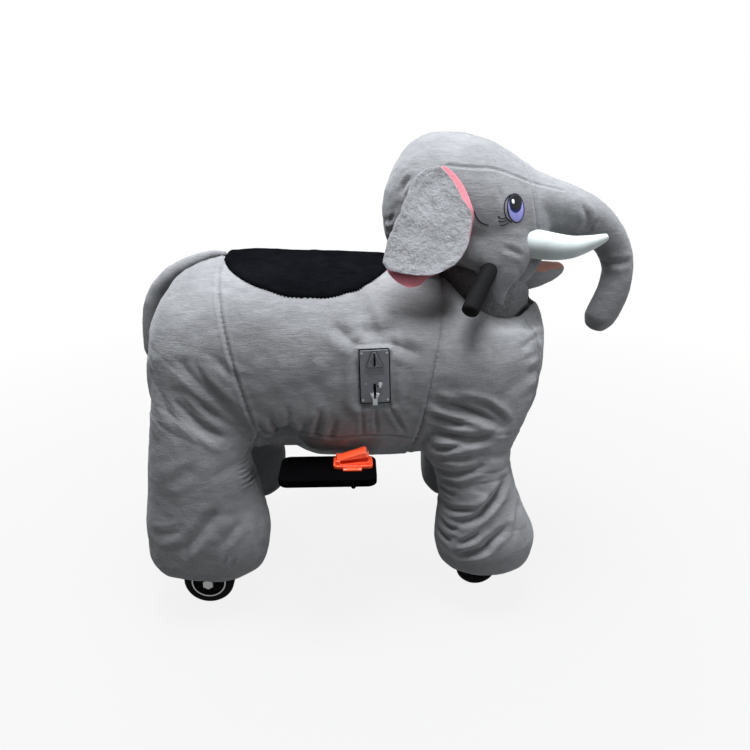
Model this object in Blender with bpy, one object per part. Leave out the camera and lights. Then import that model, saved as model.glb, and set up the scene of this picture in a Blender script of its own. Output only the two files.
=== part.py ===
"""Coin-operated elephant ride: a stuffed plush elephant over a steel frame on four wheels.

Units are metres. +X is forward, +Z is up, and the origin is on the floor below the middle of the ride.
The side with the coin plate is -Y, the rider's right.
"""

import bpy
import bmesh
from math import cos, pi, radians, sin
from mathutils import Matrix, Vector

# Clearances
GAP = 0.0003
SKIN_GAP = 0.0006
POCKET_CLEARANCE = 0.0004
BEARING_CLEARANCE = 0.0006
RUNNING_GAP = 0.003

# Steel frame
RAIL_SIZE = 0.025
RAIL_WALL = 0.002
RAIL_HALF_TRACK = 0.100
RAIL_BASE_Z = 0.382
RAIL_BACK_X = -0.455
RAIL_FRONT_X = 0.250
POST_SIZE = 0.025
PLATE_THICKNESS = 0.003
BRIDGE_LENGTH = 0.070
BRIDGE_THICKNESS = 0.006

# Rear axle and its drive
REAR_AXLE_X = -0.430
REAR_WHEEL_RADIUS = 0.059
REAR_WHEEL_WIDTH = 0.032
REAR_WHEEL_Y = 0.172
AXLE_RADIUS = 0.0085
AXLE_END_LENGTH = 0.008
NUT_RADIUS = 0.013
NUT_LENGTH = 0.009
BEARING_LENGTH = 0.060
BEARING_HEIGHT = 0.050
BEARING_WIDTH = 0.030
GEAR_MODULE = 0.002
GEAR_TEETH = 36
PINION_TEETH = 12
GEAR_WIDTH = 0.012
GEAR_Y = 0.042
PINION_ANGLE = 60.0
CASE_WALL = 0.003
MOTOR_RADIUS = 0.032
MOTOR_LENGTH = 0.080
MOTOR_SHAFT_RADIUS = 0.004

# Front wheels and steering
KINGPIN_X = 0.222
FRONT_WHEEL_RADIUS = 0.050
FRONT_WHEEL_WIDTH = 0.028
FRONT_BOLT_RADIUS = 0.006
KINGPIN_TUBE_RADIUS = 0.015
KINGPIN_RADIUS = 0.0105
KINGPIN_TUBE_BASE_Z = 0.135
FORK_PLATE = 0.004
FORK_CROWN = 0.008
CRANK_LENGTH = 0.042
CRANK_WIDTH = 0.016
CRANK_PIN_RADIUS = 0.004
TIE_ROD_THICKNESS = 0.006
TIE_ROD_WIDTH = 0.018
PITMAN_THICKNESS = 0.008
HEAD_TUBE_RADIUS = 0.018
HEAD_TUBE_BASE_Z = 0.140
HEAD_TUBE_TOP_Z = 0.650
COLUMN_RADIUS = 0.0125
COLUMN_TOP_Z = 0.850
HANDLEBAR_RADIUS = 0.011
GRIP_RADIUS = 0.019

# Seat, battery and electrics
BATTERY_SIZE = (0.180, 0.166, 0.167)
BATTERY_BACK_X = -0.250
TRAY_BACK_MARGIN = 0.0225
TRAY_FRONT_MARGIN = 0.015
BULKHEAD_THICKNESS = 0.012
BULKHEAD_TOP_Z = 0.722
SEAT_BOARD_THICKNESS = 0.018
SEAT_BOARD_BACK_X = -0.330
SEAT_BOARD_FRONT_X = -0.020
SEAT_BOARD_HALF_WIDTH = 0.130
CONTROLLER_SIZE = (0.055, 0.120, 0.060)
TIMER_SIZE = (0.070, 0.100, 0.090)
BOX_SPACING = 0.006

# Footboards and accelerator
FOOTBOARD_BACK_X = -0.236
FOOTBOARD_FRONT_X = -0.032
FOOTBOARD_INNER_Y = 0.187
FOOTBOARD_OUTER_Y = 0.310
FOOTBOARD_THICKNESS = 0.018
FOOTBOARD_CORNER = 0.020
FOOT_BAR_X = -0.085
FOOT_BAR_REACH = 0.262
PEDAL_BACK_X = -0.123
PEDAL_LENGTH = 0.083
PEDAL_WIDTH = 0.043
PEDAL_Y = -0.244
PEDAL_BASE_HEIGHT = 0.012
PEDAL_LEVER_HEIGHT = 0.024
PEDAL_HINGE_RADIUS = 0.004

# Coin acceptor
COIN_X = -0.034
COIN_Z = 0.598
COIN_PLATE_WIDTH = 0.064
COIN_PLATE_HEIGHT = 0.114
COIN_PLATE_THICKNESS = 0.004
COIN_PLATE_FACE_Y = -0.2455
COIN_SLOT_WIDTH = 0.005
COIN_SLOT_HEIGHT = 0.031
COIN_DEPTH = 0.075
COIN_SLOT_DEPTH = 0.045
COIN_BOX_SIZE = (0.082, 0.062, 0.088)
COIN_BOX_SETBACK = 0.042

# Plush forms
PLUSH_SIDES = 28
BODY_POWER = 2.3
NECK_RADIUS = 0.123
NECK_FLOOR_Z = 0.655
NECK_SLEEVE_RADIUS = 0.108
NECK_SLEEVE_TOP_Z = 0.790
SEAT_CENTRE_X = -0.176
SEAT_HALF_LENGTH = 0.185
SEAT_HALF_WIDTH = 0.178
SEAT_EDGE = 0.004
SEAT_CROWN = 0.009
FRONT_WELL_RADIUS = 0.0565
WHEEL_SIDES = 24
WELL_CLEARANCE = 0.010
WELL_OUTER_CLEARANCE = 0.015
TIE_ROD_ROOM = 0.004
HAND_SPACE_RADIUS = 0.036
HALF_SPACE_SIZE = 2.0

# Stations of the barrel: x, lowest z, highest z, half width
BODY_STATIONS = (
    (-0.534, 0.485, 0.706, 0.125),
    (-0.517, 0.425, 0.750, 0.180),
    (-0.482, 0.385, 0.780, 0.212),
    (-0.430, 0.364, 0.799, 0.230),
    (-0.360, 0.358, 0.806, 0.240),
    (-0.270, 0.362, 0.806, 0.243),
    (-0.190, 0.342, 0.803, 0.244),
    (-0.080, 0.335, 0.800, 0.242),
    (0.000, 0.338, 0.797, 0.240),
    (0.080, 0.345, 0.785, 0.238),
    (0.160, 0.345, 0.770, 0.234),
    (0.230, 0.350, 0.752, 0.224),
    (0.290, 0.365, 0.742, 0.198),
    (0.328, 0.440, 0.720, 0.155),
    (0.349, 0.510, 0.686, 0.100),
)
BODY_BACK = (-0.541, 0.600)
BODY_FRONT = (0.359, 0.605)

# Stations of the legs: z, back x, front x, inner y, outer y
REAR_LEG_STATIONS = (
    (0.098, -0.497, -0.335, 0.120, 0.225),
    (0.108, -0.537, -0.300, 0.100, 0.248),
    (0.136, -0.555, -0.283, 0.088, 0.260),
    (0.175, -0.557, -0.277, 0.080, 0.266),
    (0.225, -0.556, -0.279, 0.082, 0.268),
    (0.290, -0.549, -0.290, 0.085, 0.263),
    (0.355, -0.540, -0.300, 0.088, 0.258),
    (0.420, -0.530, -0.302, 0.090, 0.250),
    (0.500, -0.520, -0.300, 0.100, 0.240),
    (0.560, -0.514, -0.310, 0.110, 0.228),
    (0.610, -0.500, -0.325, 0.120, 0.215),
)
FRONT_LEG_STATIONS = (
    (0.095, 0.165, 0.285, 0.125, 0.215),
    (0.105, 0.137, 0.318, 0.100, 0.243),
    (0.124, 0.119, 0.336, 0.088, 0.258),
    (0.156, 0.110, 0.342, 0.080, 0.266),
    (0.190, 0.109, 0.341, 0.080, 0.268),
    (0.235, 0.112, 0.322, 0.082, 0.262),
    (0.280, 0.114, 0.302, 0.085, 0.255),
    (0.330, 0.106, 0.286, 0.088, 0.248),
    (0.365, 0.094, 0.277, 0.090, 0.245),
    (0.410, 0.067, 0.277, 0.095, 0.242),
    (0.460, 0.060, 0.293, 0.100, 0.238),
    (0.530, 0.068, 0.313, 0.110, 0.228),
    (0.580, 0.085, 0.305, 0.120, 0.212),
)

# Stations of the head: x, lowest z, highest z, half width
HEAD_STATIONS = (
    (0.000, 0.838, 0.965, 0.060),
    (0.030, 0.812, 1.024, 0.105),
    (0.080, 0.792, 1.060, 0.140),
    (0.140, 0.765, 1.068, 0.153),
    (0.190, 0.730, 1.060, 0.156),
    (0.240, 0.706, 1.043, 0.148),
    (0.285, 0.712, 1.016, 0.130),
    (0.322, 0.748, 0.992, 0.110),
    (0.345, 0.795, 0.972, 0.080),
)
HEAD_BACK = (-0.012, 0.903)
HEAD_FRONT = (0.357, 0.885)

# Stations of the trunk: x, z, half height across its line, half width
TRUNK_STATIONS = (
    (0.265, 0.922, 0.074, 0.098),
    (0.310, 0.920, 0.068, 0.095),
    (0.350, 0.913, 0.061, 0.082),
    (0.400, 0.902, 0.055, 0.066),
    (0.447, 0.885, 0.050, 0.054),
    (0.490, 0.856, 0.044, 0.046),
    (0.522, 0.816, 0.038, 0.039),
    (0.537, 0.770, 0.034, 0.035),
    (0.534, 0.722, 0.036, 0.036),
    (0.520, 0.678, 0.038, 0.034),
    (0.506, 0.650, 0.036, 0.031),
    (0.498, 0.634, 0.026, 0.022),
)

# Stations of a tusk: x, y outwards, z, radius
TUSK_STATIONS = (
    (0.262, 0.082, 0.842, 0.030),
    (0.300, 0.100, 0.839, 0.031),
    (0.345, 0.114, 0.834, 0.028),
    (0.385, 0.123, 0.834, 0.023),
    (0.420, 0.129, 0.843, 0.016),
    (0.445, 0.132, 0.854, 0.009),
    (0.456, 0.133, 0.860, 0.004),
)

# Stations of the lower jaw: x, lowest z, highest z, half width
JAW_STATIONS = (
    (0.260, 0.724, 0.798, 0.050),
    (0.310, 0.722, 0.790, 0.053),
    (0.350, 0.731, 0.788, 0.047),
    (0.385, 0.747, 0.786, 0.035),
    (0.403, 0.760, 0.783, 0.020),
)
JAW_FRONT = (0.412, 0.772)

# Stations of the tail: x, z, radius
TAIL_STATIONS = (
    (-0.395, 0.806, 0.009),
    (-0.445, 0.788, 0.015),
    (-0.495, 0.758, 0.018),
    (-0.532, 0.712, 0.020),
    (-0.5487, 0.650, 0.020),
    (-0.5537, 0.590, 0.018),
    (-0.5507, 0.556, 0.011),
)

# Outline of an ear, x and z, anticlockwise from its top as seen from its own side
EAR_OUTLINE = (
    (0.098, 1.000), (0.068, 0.996), (0.045, 0.976), (0.032, 0.948), (0.018, 0.916), (0.002, 0.885),
    (-0.011, 0.852), (-0.019, 0.825), (-0.009, 0.806), (0.010, 0.787), (0.035, 0.776), (0.058, 0.781),
    (0.078, 0.797), (0.105, 0.812), (0.133, 0.830), (0.150, 0.853), (0.160, 0.882), (0.160, 0.912),
    (0.147, 0.938), (0.131, 0.966), (0.115, 0.989),
)
EAR_TOP_Y = 0.132
EAR_FLARE = 0.100
EAR_THICKNESS = 0.022

# Handlebar centre line from the column outwards: x, y, z
HANDLEBAR_POINTS = (
    (0.222, 0.000, 0.828),
    (0.226, 0.055, 0.826),
    (0.216, 0.120, 0.812),
    (0.196, 0.172, 0.788),
    (0.156, 0.234, 0.736),
)
GRIP_START = 0.36

# Seams between the three covers: x at the top and at the bottom of a slanted cut
REAR_SEAM = ((-0.362, 0.800), (-0.270, 0.400))
FRONT_SEAM = ((0.118, 0.780), (0.050, 0.400))

# Finishes: colour, roughness, metallic
FINISHES = {
    "grey_plush": ((0.235, 0.238, 0.252), 0.92, 0.0),
    "black_plush": ((0.012, 0.012, 0.014), 0.90, 0.0),
    "pale_plush": ((0.620, 0.650, 0.600), 0.80, 0.0),
    "painted_steel": ((0.030, 0.030, 0.032), 0.45, 0.0),
    "zinc_steel": ((0.560, 0.560, 0.550), 0.35, 1.0),
    "black_rubber": ((0.018, 0.018, 0.018), 0.75, 0.0),
    "black_plastic": ((0.022, 0.022, 0.024), 0.45, 0.0),
    "orange_plastic": ((0.860, 0.085, 0.018), 0.35, 0.0),
    "plate_metal": ((0.520, 0.550, 0.580), 0.30, 1.0),
    "plywood": ((0.480, 0.300, 0.150), 0.65, 0.0),
    "grey_plastic": ((0.180, 0.190, 0.200), 0.50, 0.0),
}

# Places worked out from the sizes above
RAIL_TOP_Z = RAIL_BASE_Z + RAIL_SIZE
RAIL_OUTER_Y = RAIL_HALF_TRACK + RAIL_SIZE / 2
POST_Y = RAIL_OUTER_Y + GAP + POST_SIZE / 2
KINGPIN_Y = RAIL_OUTER_Y + GAP + KINGPIN_TUBE_RADIUS
REAR_AXLE_Z = REAR_WHEEL_RADIUS
FRONT_AXLE_Z = FRONT_WHEEL_RADIUS
BEARING_TOP_Z = REAR_AXLE_Z + BEARING_HEIGHT / 2
CROWN_BASE_Z = FRONT_AXLE_Z + FRONT_WHEEL_RADIUS + RUNNING_GAP * 2
CROWN_TOP_Z = CROWN_BASE_Z + FORK_CROWN
TIE_ROD_BASE_Z = CROWN_TOP_Z + GAP * 2
TIE_ROD_TOP_Z = TIE_ROD_BASE_Z + TIE_ROD_THICKNESS
PITMAN_BASE_Z = TIE_ROD_TOP_Z + GAP * 2
TRAY_BASE_Z = RAIL_TOP_Z + GAP
TRAY_TOP_Z = TRAY_BASE_Z + PLATE_THICKNESS
BULKHEAD_FRONT_X = BATTERY_BACK_X + BATTERY_SIZE[0] + BOX_SPACING
CONTROLLER_BACK_X = BULKHEAD_FRONT_X + BULKHEAD_THICKNESS + BOX_SPACING
TIMER_BACK_X = CONTROLLER_BACK_X + CONTROLLER_SIZE[0] + BOX_SPACING
TRAY_BACK_X = BATTERY_BACK_X - TRAY_BACK_MARGIN
TRAY_FRONT_X = TIMER_BACK_X + TIMER_SIZE[0] + TRAY_FRONT_MARGIN
FOOTBOARD_BASE_Z = RAIL_BASE_Z
FOOTBOARD_TOP_Z = FOOTBOARD_BASE_Z + FOOTBOARD_THICKNESS
FOOT_BAR_TOP_Z = RAIL_BASE_Z - GAP
PEDAL_BASE_Z = FOOTBOARD_TOP_Z + GAP
PEDAL_HINGE = Vector((PEDAL_BACK_X + 0.010, PEDAL_Y, PEDAL_BASE_Z + PEDAL_BASE_HEIGHT + 0.0045))
GEAR_RADIUS = GEAR_MODULE * GEAR_TEETH / 2
PINION_RADIUS = GEAR_MODULE * PINION_TEETH / 2
GEAR_SPACING = GEAR_RADIUS + PINION_RADIUS
PINION_X = REAR_AXLE_X + GEAR_SPACING * cos(radians(PINION_ANGLE))
PINION_Z = REAR_AXLE_Z + GEAR_SPACING * sin(radians(PINION_ANGLE))
MOTOR_PLATE_Y = GEAR_Y - GEAR_WIDTH / 2 - RUNNING_GAP - PLATE_THICKNESS
NECK_X = KINGPIN_X
COIN_BACK_Y = COIN_PLATE_FACE_Y + COIN_PLATE_THICKNESS + GAP
LEVER_PIVOT = Vector((COIN_X - 0.010, COIN_BACK_Y, COIN_Z - 0.004))
LEVER_KNOB = Vector((COIN_X + 0.010, COIN_BACK_Y, COIN_Z - 0.010))


def clear_scene():
    """Remove whatever the scene holds."""
    for item in list(bpy.data.objects):
        bpy.data.objects.remove(item, do_unlink=True)


def finish_material(name):
    """Return the Principled material of a finish."""
    made = bpy.data.materials.get(name)
    if made is None:
        color, roughness, metallic = FINISHES[name]
        made = bpy.data.materials.new(name)
        made.use_nodes = True
        shader = made.node_tree.nodes["Principled BSDF"]
        shader.inputs["Base Color"].default_value = (*color, 1.0)
        shader.inputs["Roughness"].default_value = roughness
        shader.inputs["Metallic"].default_value = metallic
    return made


def solid(name, shape, finish="grey_plush"):
    """Turn a bmesh in world coordinates into a linked object with outward faces."""
    bmesh.ops.recalc_face_normals(shape, faces=shape.faces)
    mesh = bpy.data.meshes.new(name)
    shape.to_mesh(mesh)
    shape.free()
    made = bpy.data.objects.new(name, mesh)
    made.data.materials.append(finish_material(finish))
    bpy.context.scene.collection.objects.link(made)
    return made


def box_shape(low, high):
    """A bmesh box between two corners."""
    shape = bmesh.new()
    size = Vector(high) - Vector(low)
    middle = (Vector(high) + Vector(low)) / 2
    place = Matrix.Translation(middle) @ Matrix.Diagonal((*size, 1.0))
    bmesh.ops.create_cube(shape, size=1.0, matrix=place)
    return shape


def box(name, low, high, finish="grey_plush"):
    """A box between two corners."""
    return solid(name, box_shape(low, high), finish)


def rounded_box(name, low, high, finish, corner, axis=2, segments=3):
    """A box whose edges along one axis are rounded."""
    shape = box_shape(low, high)
    edges = []
    for edge in shape.edges:
        along = edge.verts[0].co - edge.verts[1].co
        if abs(along[axis]) > 1e-6:
            edges.append(edge)
    bmesh.ops.bevel(shape, geom=edges, offset=corner, segments=segments, affect="EDGES", profile=0.5)
    return solid(name, shape, finish)


def turned(name, profile, start, axis, finish, sides=20):
    """Revolve a closed outline of (radius, height) around an axis; radius 0 closes on the axis."""
    shape = bmesh.new()
    turn = Vector((0, 0, 1)).rotation_difference(Vector(axis).normalized()).to_matrix()
    origin = Vector(start)
    rings = []
    for radius, height in profile:
        if radius < 1e-7:
            rings.append([shape.verts.new(origin + turn @ Vector((0, 0, height)))])
            continue
        ring = []
        for step in range(sides):
            angle = 2 * pi * (step + 0.5) / sides
            point = Vector((radius * cos(angle), radius * sin(angle), height))
            ring.append(shape.verts.new(origin + turn @ point))
        rings.append(ring)
    for here, after in zip(rings, rings[1:] + rings[:1]):
        join_rings(shape, here, after)
    made = solid(name, shape, finish)
    made.data.shade_smooth()
    made.data.set_sharp_from_angle(angle=radians(35))
    return made


def join_rings(shape, here, after):
    """Bridge two rings of equal count, or a ring and a single point."""
    if len(here) == 1 and len(after) == 1:
        return
    count = max(len(here), len(after))
    for step in range(count):
        following = (step + 1) % count
        if len(here) == 1:
            shape.faces.new((here[0], after[step], after[following]))
        elif len(after) == 1:
            shape.faces.new((here[step], here[following], after[0]))
        else:
            shape.faces.new((here[step], here[following], after[following], after[step]))


def rod(name, start, end, radius, finish, bore=0.0, sides=20):
    """A round bar or tube between two points."""
    line = Vector(end) - Vector(start)
    length = line.length
    if bore > 0:
        profile = ((bore, 0), (radius, 0), (radius, length), (bore, length))
    else:
        profile = ((0, 0), (radius, 0), (radius, length), (0, length))
    return turned(name, profile, start, line, finish, sides)


def square_tube(name, low, high, finish, wall, axis):
    """A square tube along one axis, open at its ends."""
    made = box(name, low, high, finish)
    inner_low = Vector(low)
    inner_high = Vector(high)
    for side in range(3):
        step = -wall if side == axis else wall
        inner_low[side] += step
        inner_high[side] -= step
    combine(made, box("bore", inner_low, inner_high))
    return made


def smooth_rows(rows, steps):
    """Add Catmull-Rom rows between the given rows of numbers."""
    made = []
    last = len(rows) - 1
    for index in range(last):
        before = rows[max(index - 1, 0)]
        here = rows[index]
        after = rows[index + 1]
        beyond = rows[min(index + 2, last)]
        for step in range(steps):
            t = step / steps
            row = []
            for a, b, c, d in zip(before, here, after, beyond):
                curve = (2 * a - 5 * b + 4 * c - d) * t * t + (3 * b - a - 3 * c + d) * t ** 3
                row.append(0.5 * (2 * b + (c - a) * t + curve))
            made.append(tuple(row))
    made.append(tuple(rows[last]))
    return made


def oval(sides, power):
    """Points of a unit superellipse."""
    points = []
    for step in range(sides):
        angle = 2 * pi * (step + 0.5) / sides
        across = abs(cos(angle)) ** (2 / power) * (1 if cos(angle) >= 0 else -1)
        up = abs(sin(angle)) ** (2 / power) * (1 if sin(angle) >= 0 else -1)
        points.append((across, up))
    return points


def skin(name, rings, start, end, finish):
    """Join rings of points into a closed form; start and end are points, or None for flat ends."""
    shape = bmesh.new()
    made = [[shape.verts.new(point) for point in ring] for ring in rings]
    for here, after in zip(made, made[1:]):
        join_rings(shape, here, after)
    for ring, pole in ((made[0], start), (made[-1], end)):
        if pole is None:
            shape.faces.new(ring)
        else:
            join_rings(shape, ring, [shape.verts.new(pole)])
    bmesh.ops.recalc_face_normals(shape, faces=shape.faces)
    bmesh.ops.triangulate(shape, faces=shape.faces, quad_method="SHORT_EDGE")
    form = solid(name, shape, finish)
    form.data.shade_smooth()
    return form


def form_along_x(name, stations, back, front, finish, power=2.0, steps=1, sides=PLUSH_SIDES):
    """A stuffed form from upright ovals: x, lowest z, highest z, half width."""
    rings = []
    for x, low, high, half in smooth_rows(stations, steps):
        middle = (low + high) / 2
        rise = (high - low) / 2
        rings.append([Vector((x, half * across, middle + rise * up)) for across, up in oval(sides, power)])
    start = Vector((back[0], 0, back[1])) if back else None
    end = Vector((front[0], 0, front[1])) if front else None
    return skin(name, rings, start, end, finish)


def form_along_z(name, stations, side, finish, power=2.2, sides=22):
    """A stuffed leg from level ovals: z, back x, front x, inner y, outer y."""
    rings = []
    for z, back, front, inner, outer in stations:
        middle = Vector(((back + front) / 2, side * (inner + outer) / 2, z))
        along = (front - back) / 2
        out = (outer - inner) / 2
        rings.append([middle + Vector((along * a, out * b, 0)) for a, b in oval(sides, power)])
    return skin(name, rings, None, None, finish)


def form_along_path(name, points, finish, sides=16, flat_start=True):
    """A stuffed or bent round form: centre points, each with a half height and a half width."""
    centres = [Vector(point[0]) for point in points]
    rings = []
    before = Vector((0, 1, 0))
    for index, (centre, rise, half) in enumerate(points):
        ahead = centres[min(index + 1, len(centres) - 1)] - centres[max(index - 1, 0)]
        ahead.normalize()
        across = Vector((0, 0, 1)).cross(ahead)
        if across.length < 0.05:
            across = before.copy()
        across.normalize()
        if across.dot(before) < 0:
            across.negate()
        before = across
        up = ahead.cross(across).normalized()
        rings.append([Vector(centre) + across * half * a + up * rise * b for a, b in oval(sides, 2.0)])
    end = centres[-1] + (centres[-1] - centres[-2]).normalized() * min(points[-1][1], 0.012)
    start = None if flat_start else centres[0] + (centres[0] - centres[1]).normalized() * points[0][1] * 0.6
    return skin(name, rings, start, end, finish)


def combine(target, tool, operation="DIFFERENCE"):
    """Cut, join or intersect one object with another and use the tool up."""
    step = target.modifiers.new("combine", "BOOLEAN")
    step.operation = operation
    step.solver = "EXACT"
    step.object = tool
    bpy.context.view_layer.update()
    graph = bpy.context.evaluated_depsgraph_get()
    shape = bpy.data.meshes.new_from_object(target.evaluated_get(graph))
    target.modifiers.remove(step)
    old = target.data
    target.data = shape
    bpy.data.meshes.remove(old)
    bpy.data.objects.remove(tool, do_unlink=True)
    clean(target)


def clean(target):
    """Merge points that a cut left on top of each other."""
    shape = bmesh.new()
    shape.from_mesh(target.data)
    bmesh.ops.remove_doubles(shape, verts=shape.verts, dist=0.000005)
    bmesh.ops.dissolve_degenerate(shape, edges=shape.edges, dist=0.000005)
    shape.to_mesh(target.data)
    shape.free()


def copy_of(source, grow=0.0):
    """A copy of an object, swollen by a distance."""
    shape = bmesh.new()
    shape.from_mesh(source.data)
    shape.normal_update()
    if grow:
        moves = [(vert, vert.normal * grow) for vert in shape.verts]
        for vert, move in moves:
            vert.co += move
    mesh = bpy.data.meshes.new(source.name + "_copy")
    shape.to_mesh(mesh)
    shape.free()
    made = bpy.data.objects.new(source.name + "_copy", mesh)
    bpy.context.scene.collection.objects.link(made)
    return made


def corners(item):
    """Lowest and highest corners of a mesh in world coordinates."""
    points = [vert.co for vert in item.data.vertices]
    low = Vector(min(point[side] for point in points) for side in range(3))
    high = Vector(max(point[side] for point in points) for side in range(3))
    return low, high


def pocket(covers, piece, clearance=POCKET_CLEARANCE):
    """Cut the block that a piece fills, with its clearance, out of each cover that it reaches."""
    low, high = corners(piece)
    margin = Vector((clearance, clearance, clearance))
    for cover in covers:
        cover_low, cover_high = corners(cover)
        apart = any(low[side] > cover_high[side] or high[side] < cover_low[side] for side in range(3))
        if not apart:
            combine(cover, box("pocket", low - margin, high + margin))


def mirrored(point, side):
    """A point with its y on the given side."""
    return Vector((point[0], side * point[1], point[2]))


def settle(item, pivot=None, parent=None):
    """Put an object's origin at its pivot, or at the middle of its bounds, and parent it."""
    if pivot is None:
        low, high = corners(item)
        pivot = (low + high) / 2
    pivot = Vector(pivot)
    item.data.transform(Matrix.Translation(-pivot))
    item.location = pivot
    if parent is not None:
        item.parent = parent
        item.location = pivot - parent.matrix_world.translation


def joint_empty(name, place):
    """An empty on a joint's axis."""
    made = bpy.data.objects.new(name, None)
    made.location = place
    made.empty_display_size = 0.05
    bpy.context.scene.collection.objects.link(made)
    bpy.context.view_layer.update()
    return made


SIDES = (("left", 1), ("right", -1))


def make_frame():
    """Rails, posts, kingpin tubes, steering tube, bridge and the tray across the rails."""
    pieces = {}
    for name, side in SIDES:
        centre = side * RAIL_HALF_TRACK
        low = (RAIL_BACK_X, centre - RAIL_SIZE / 2, RAIL_BASE_Z)
        high = (RAIL_FRONT_X, centre + RAIL_SIZE / 2, RAIL_TOP_Z)
        pieces["rail_" + name] = square_tube("rail_" + name, low, high, "painted_steel", RAIL_WALL, 0)

        centre = side * POST_Y
        half = POST_SIZE / 2
        low = (REAR_AXLE_X - half, centre - half, BEARING_TOP_Z + GAP)
        high = (REAR_AXLE_X + half, centre + half, RAIL_TOP_Z)
        post = square_tube("rear_post_" + name, low, high, "painted_steel", RAIL_WALL, 2)
        pieces["rear_post_" + name] = post

        foot = (KINGPIN_X, side * KINGPIN_Y, KINGPIN_TUBE_BASE_Z)
        top = (KINGPIN_X, side * KINGPIN_Y, RAIL_TOP_Z)
        bore = KINGPIN_RADIUS + BEARING_CLEARANCE
        tube = rod("kingpin_tube_" + name, foot, top, KINGPIN_TUBE_RADIUS, "painted_steel", bore)
        pieces["kingpin_tube_" + name] = tube

        half_length = BEARING_LENGTH / 2
        half_width = BEARING_WIDTH / 2
        low = (REAR_AXLE_X - half_length, centre - half_width, REAR_AXLE_Z - BEARING_HEIGHT / 2)
        high = (REAR_AXLE_X + half_length, centre + half_width, BEARING_TOP_Z)
        block = rounded_box("axle_bearing_" + name, low, high, "zinc_steel", 0.010, axis=1, segments=2)
        hole_start = (REAR_AXLE_X, centre - BEARING_WIDTH, REAR_AXLE_Z)
        hole_end = (REAR_AXLE_X, centre + BEARING_WIDTH, REAR_AXLE_Z)
        combine(block, rod("hole", hole_start, hole_end, AXLE_RADIUS + BEARING_CLEARANCE, "zinc_steel"))
        pieces["axle_bearing_" + name] = block

    inner = POST_Y - POST_SIZE / 2 - GAP
    beam_base = PINION_Z + MOTOR_RADIUS + RUNNING_GAP
    low = (REAR_AXLE_X - POST_SIZE / 2, -inner, beam_base)
    high = (REAR_AXLE_X + POST_SIZE / 2, inner, beam_base + POST_SIZE)
    pieces["axle_beam"] = square_tube("axle_beam", low, high, "painted_steel", RAIL_WALL, 1)

    bore = COLUMN_RADIUS + BEARING_CLEARANCE
    foot = (KINGPIN_X, 0, HEAD_TUBE_BASE_Z)
    top = (KINGPIN_X, 0, HEAD_TUBE_TOP_Z)
    pieces["steering_tube"] = rod("steering_tube", foot, top, HEAD_TUBE_RADIUS, "painted_steel", bore)

    low = (KINGPIN_X - BRIDGE_LENGTH / 2, -RAIL_OUTER_Y, RAIL_TOP_Z + GAP)
    high = (KINGPIN_X + BRIDGE_LENGTH / 2, RAIL_OUTER_Y, RAIL_TOP_Z + GAP + BRIDGE_THICKNESS)
    bridge = box("front_bridge", low, high, "painted_steel")
    low = (KINGPIN_X, 0, RAIL_TOP_Z - 0.01)
    high = (KINGPIN_X, 0, RAIL_TOP_Z + 0.02)
    combine(bridge, rod("hole", low, high, HEAD_TUBE_RADIUS + BEARING_CLEARANCE, "painted_steel"))
    pieces["front_bridge"] = bridge

    low = (TRAY_BACK_X, -RAIL_OUTER_Y, TRAY_BASE_Z)
    high = (TRAY_FRONT_X, RAIL_OUTER_Y, TRAY_TOP_Z)
    pieces["battery_tray"] = box("battery_tray", low, high, "painted_steel")
    return pieces


def make_equipment():
    """Battery, control boxes, seat bulkheads and seat board."""
    pieces = {}
    floor = TRAY_TOP_Z + GAP

    def cased(name, back, size, finish, corner):
        low = (back, -size[1] / 2, floor)
        high = (back + size[0], size[1] / 2, floor + size[2])
        pieces[name] = rounded_box(name, low, high, finish, corner, segments=1)

    cased("battery", BATTERY_BACK_X, BATTERY_SIZE, "black_plastic", 0.004)
    cased("motor_controller", CONTROLLER_BACK_X, CONTROLLER_SIZE, "zinc_steel", 0.003)
    cased("timer_music_box", TIMER_BACK_X, TIMER_SIZE, "grey_plastic", 0.004)

    rear = TRAY_BACK_X - GAP - BULKHEAD_THICKNESS
    low = (rear, -RAIL_OUTER_Y, RAIL_TOP_Z + GAP)
    high = (rear + BULKHEAD_THICKNESS, RAIL_OUTER_Y, BULKHEAD_TOP_Z)
    pieces["seat_bulkhead_rear"] = box("seat_bulkhead_rear", low, high, "plywood")
    low = (BULKHEAD_FRONT_X, -RAIL_OUTER_Y, floor)
    high = (BULKHEAD_FRONT_X + BULKHEAD_THICKNESS, RAIL_OUTER_Y, BULKHEAD_TOP_Z)
    pieces["seat_bulkhead_front"] = box("seat_bulkhead_front", low, high, "plywood")

    low = (SEAT_BOARD_BACK_X, -SEAT_BOARD_HALF_WIDTH, BULKHEAD_TOP_Z + GAP)
    high = (SEAT_BOARD_FRONT_X, SEAT_BOARD_HALF_WIDTH, BULKHEAD_TOP_Z + GAP + SEAT_BOARD_THICKNESS)
    pieces["seat_board"] = rounded_box("seat_board", low, high, "plywood", 0.030)
    return pieces


def make_wheel(name, centre, radius, width, bore, side):
    """A solid rubber wheel on a recessed hub with ribs."""
    half = width / 2
    tread = radius / cos(pi / WHEEL_SIDES)
    shoulder = radius * 0.075
    recess = width * 0.28
    hub = bore + 0.0085
    rim = radius * 0.60
    profile = (
        (bore, -half), (hub, -half), (hub + 0.002, -half + recess), (rim, -half + recess),
        (rim + 0.003, -half), (tread - shoulder, -half), (tread, -half + shoulder), (tread, half - shoulder),
        (tread - shoulder, half), (rim + 0.003, half), (rim, half - recess), (hub + 0.002, half - recess),
        (hub, half), (bore, half),
    )
    return turned(name, profile, centre, (0, side, 0), "black_rubber", WHEEL_SIDES)


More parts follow.
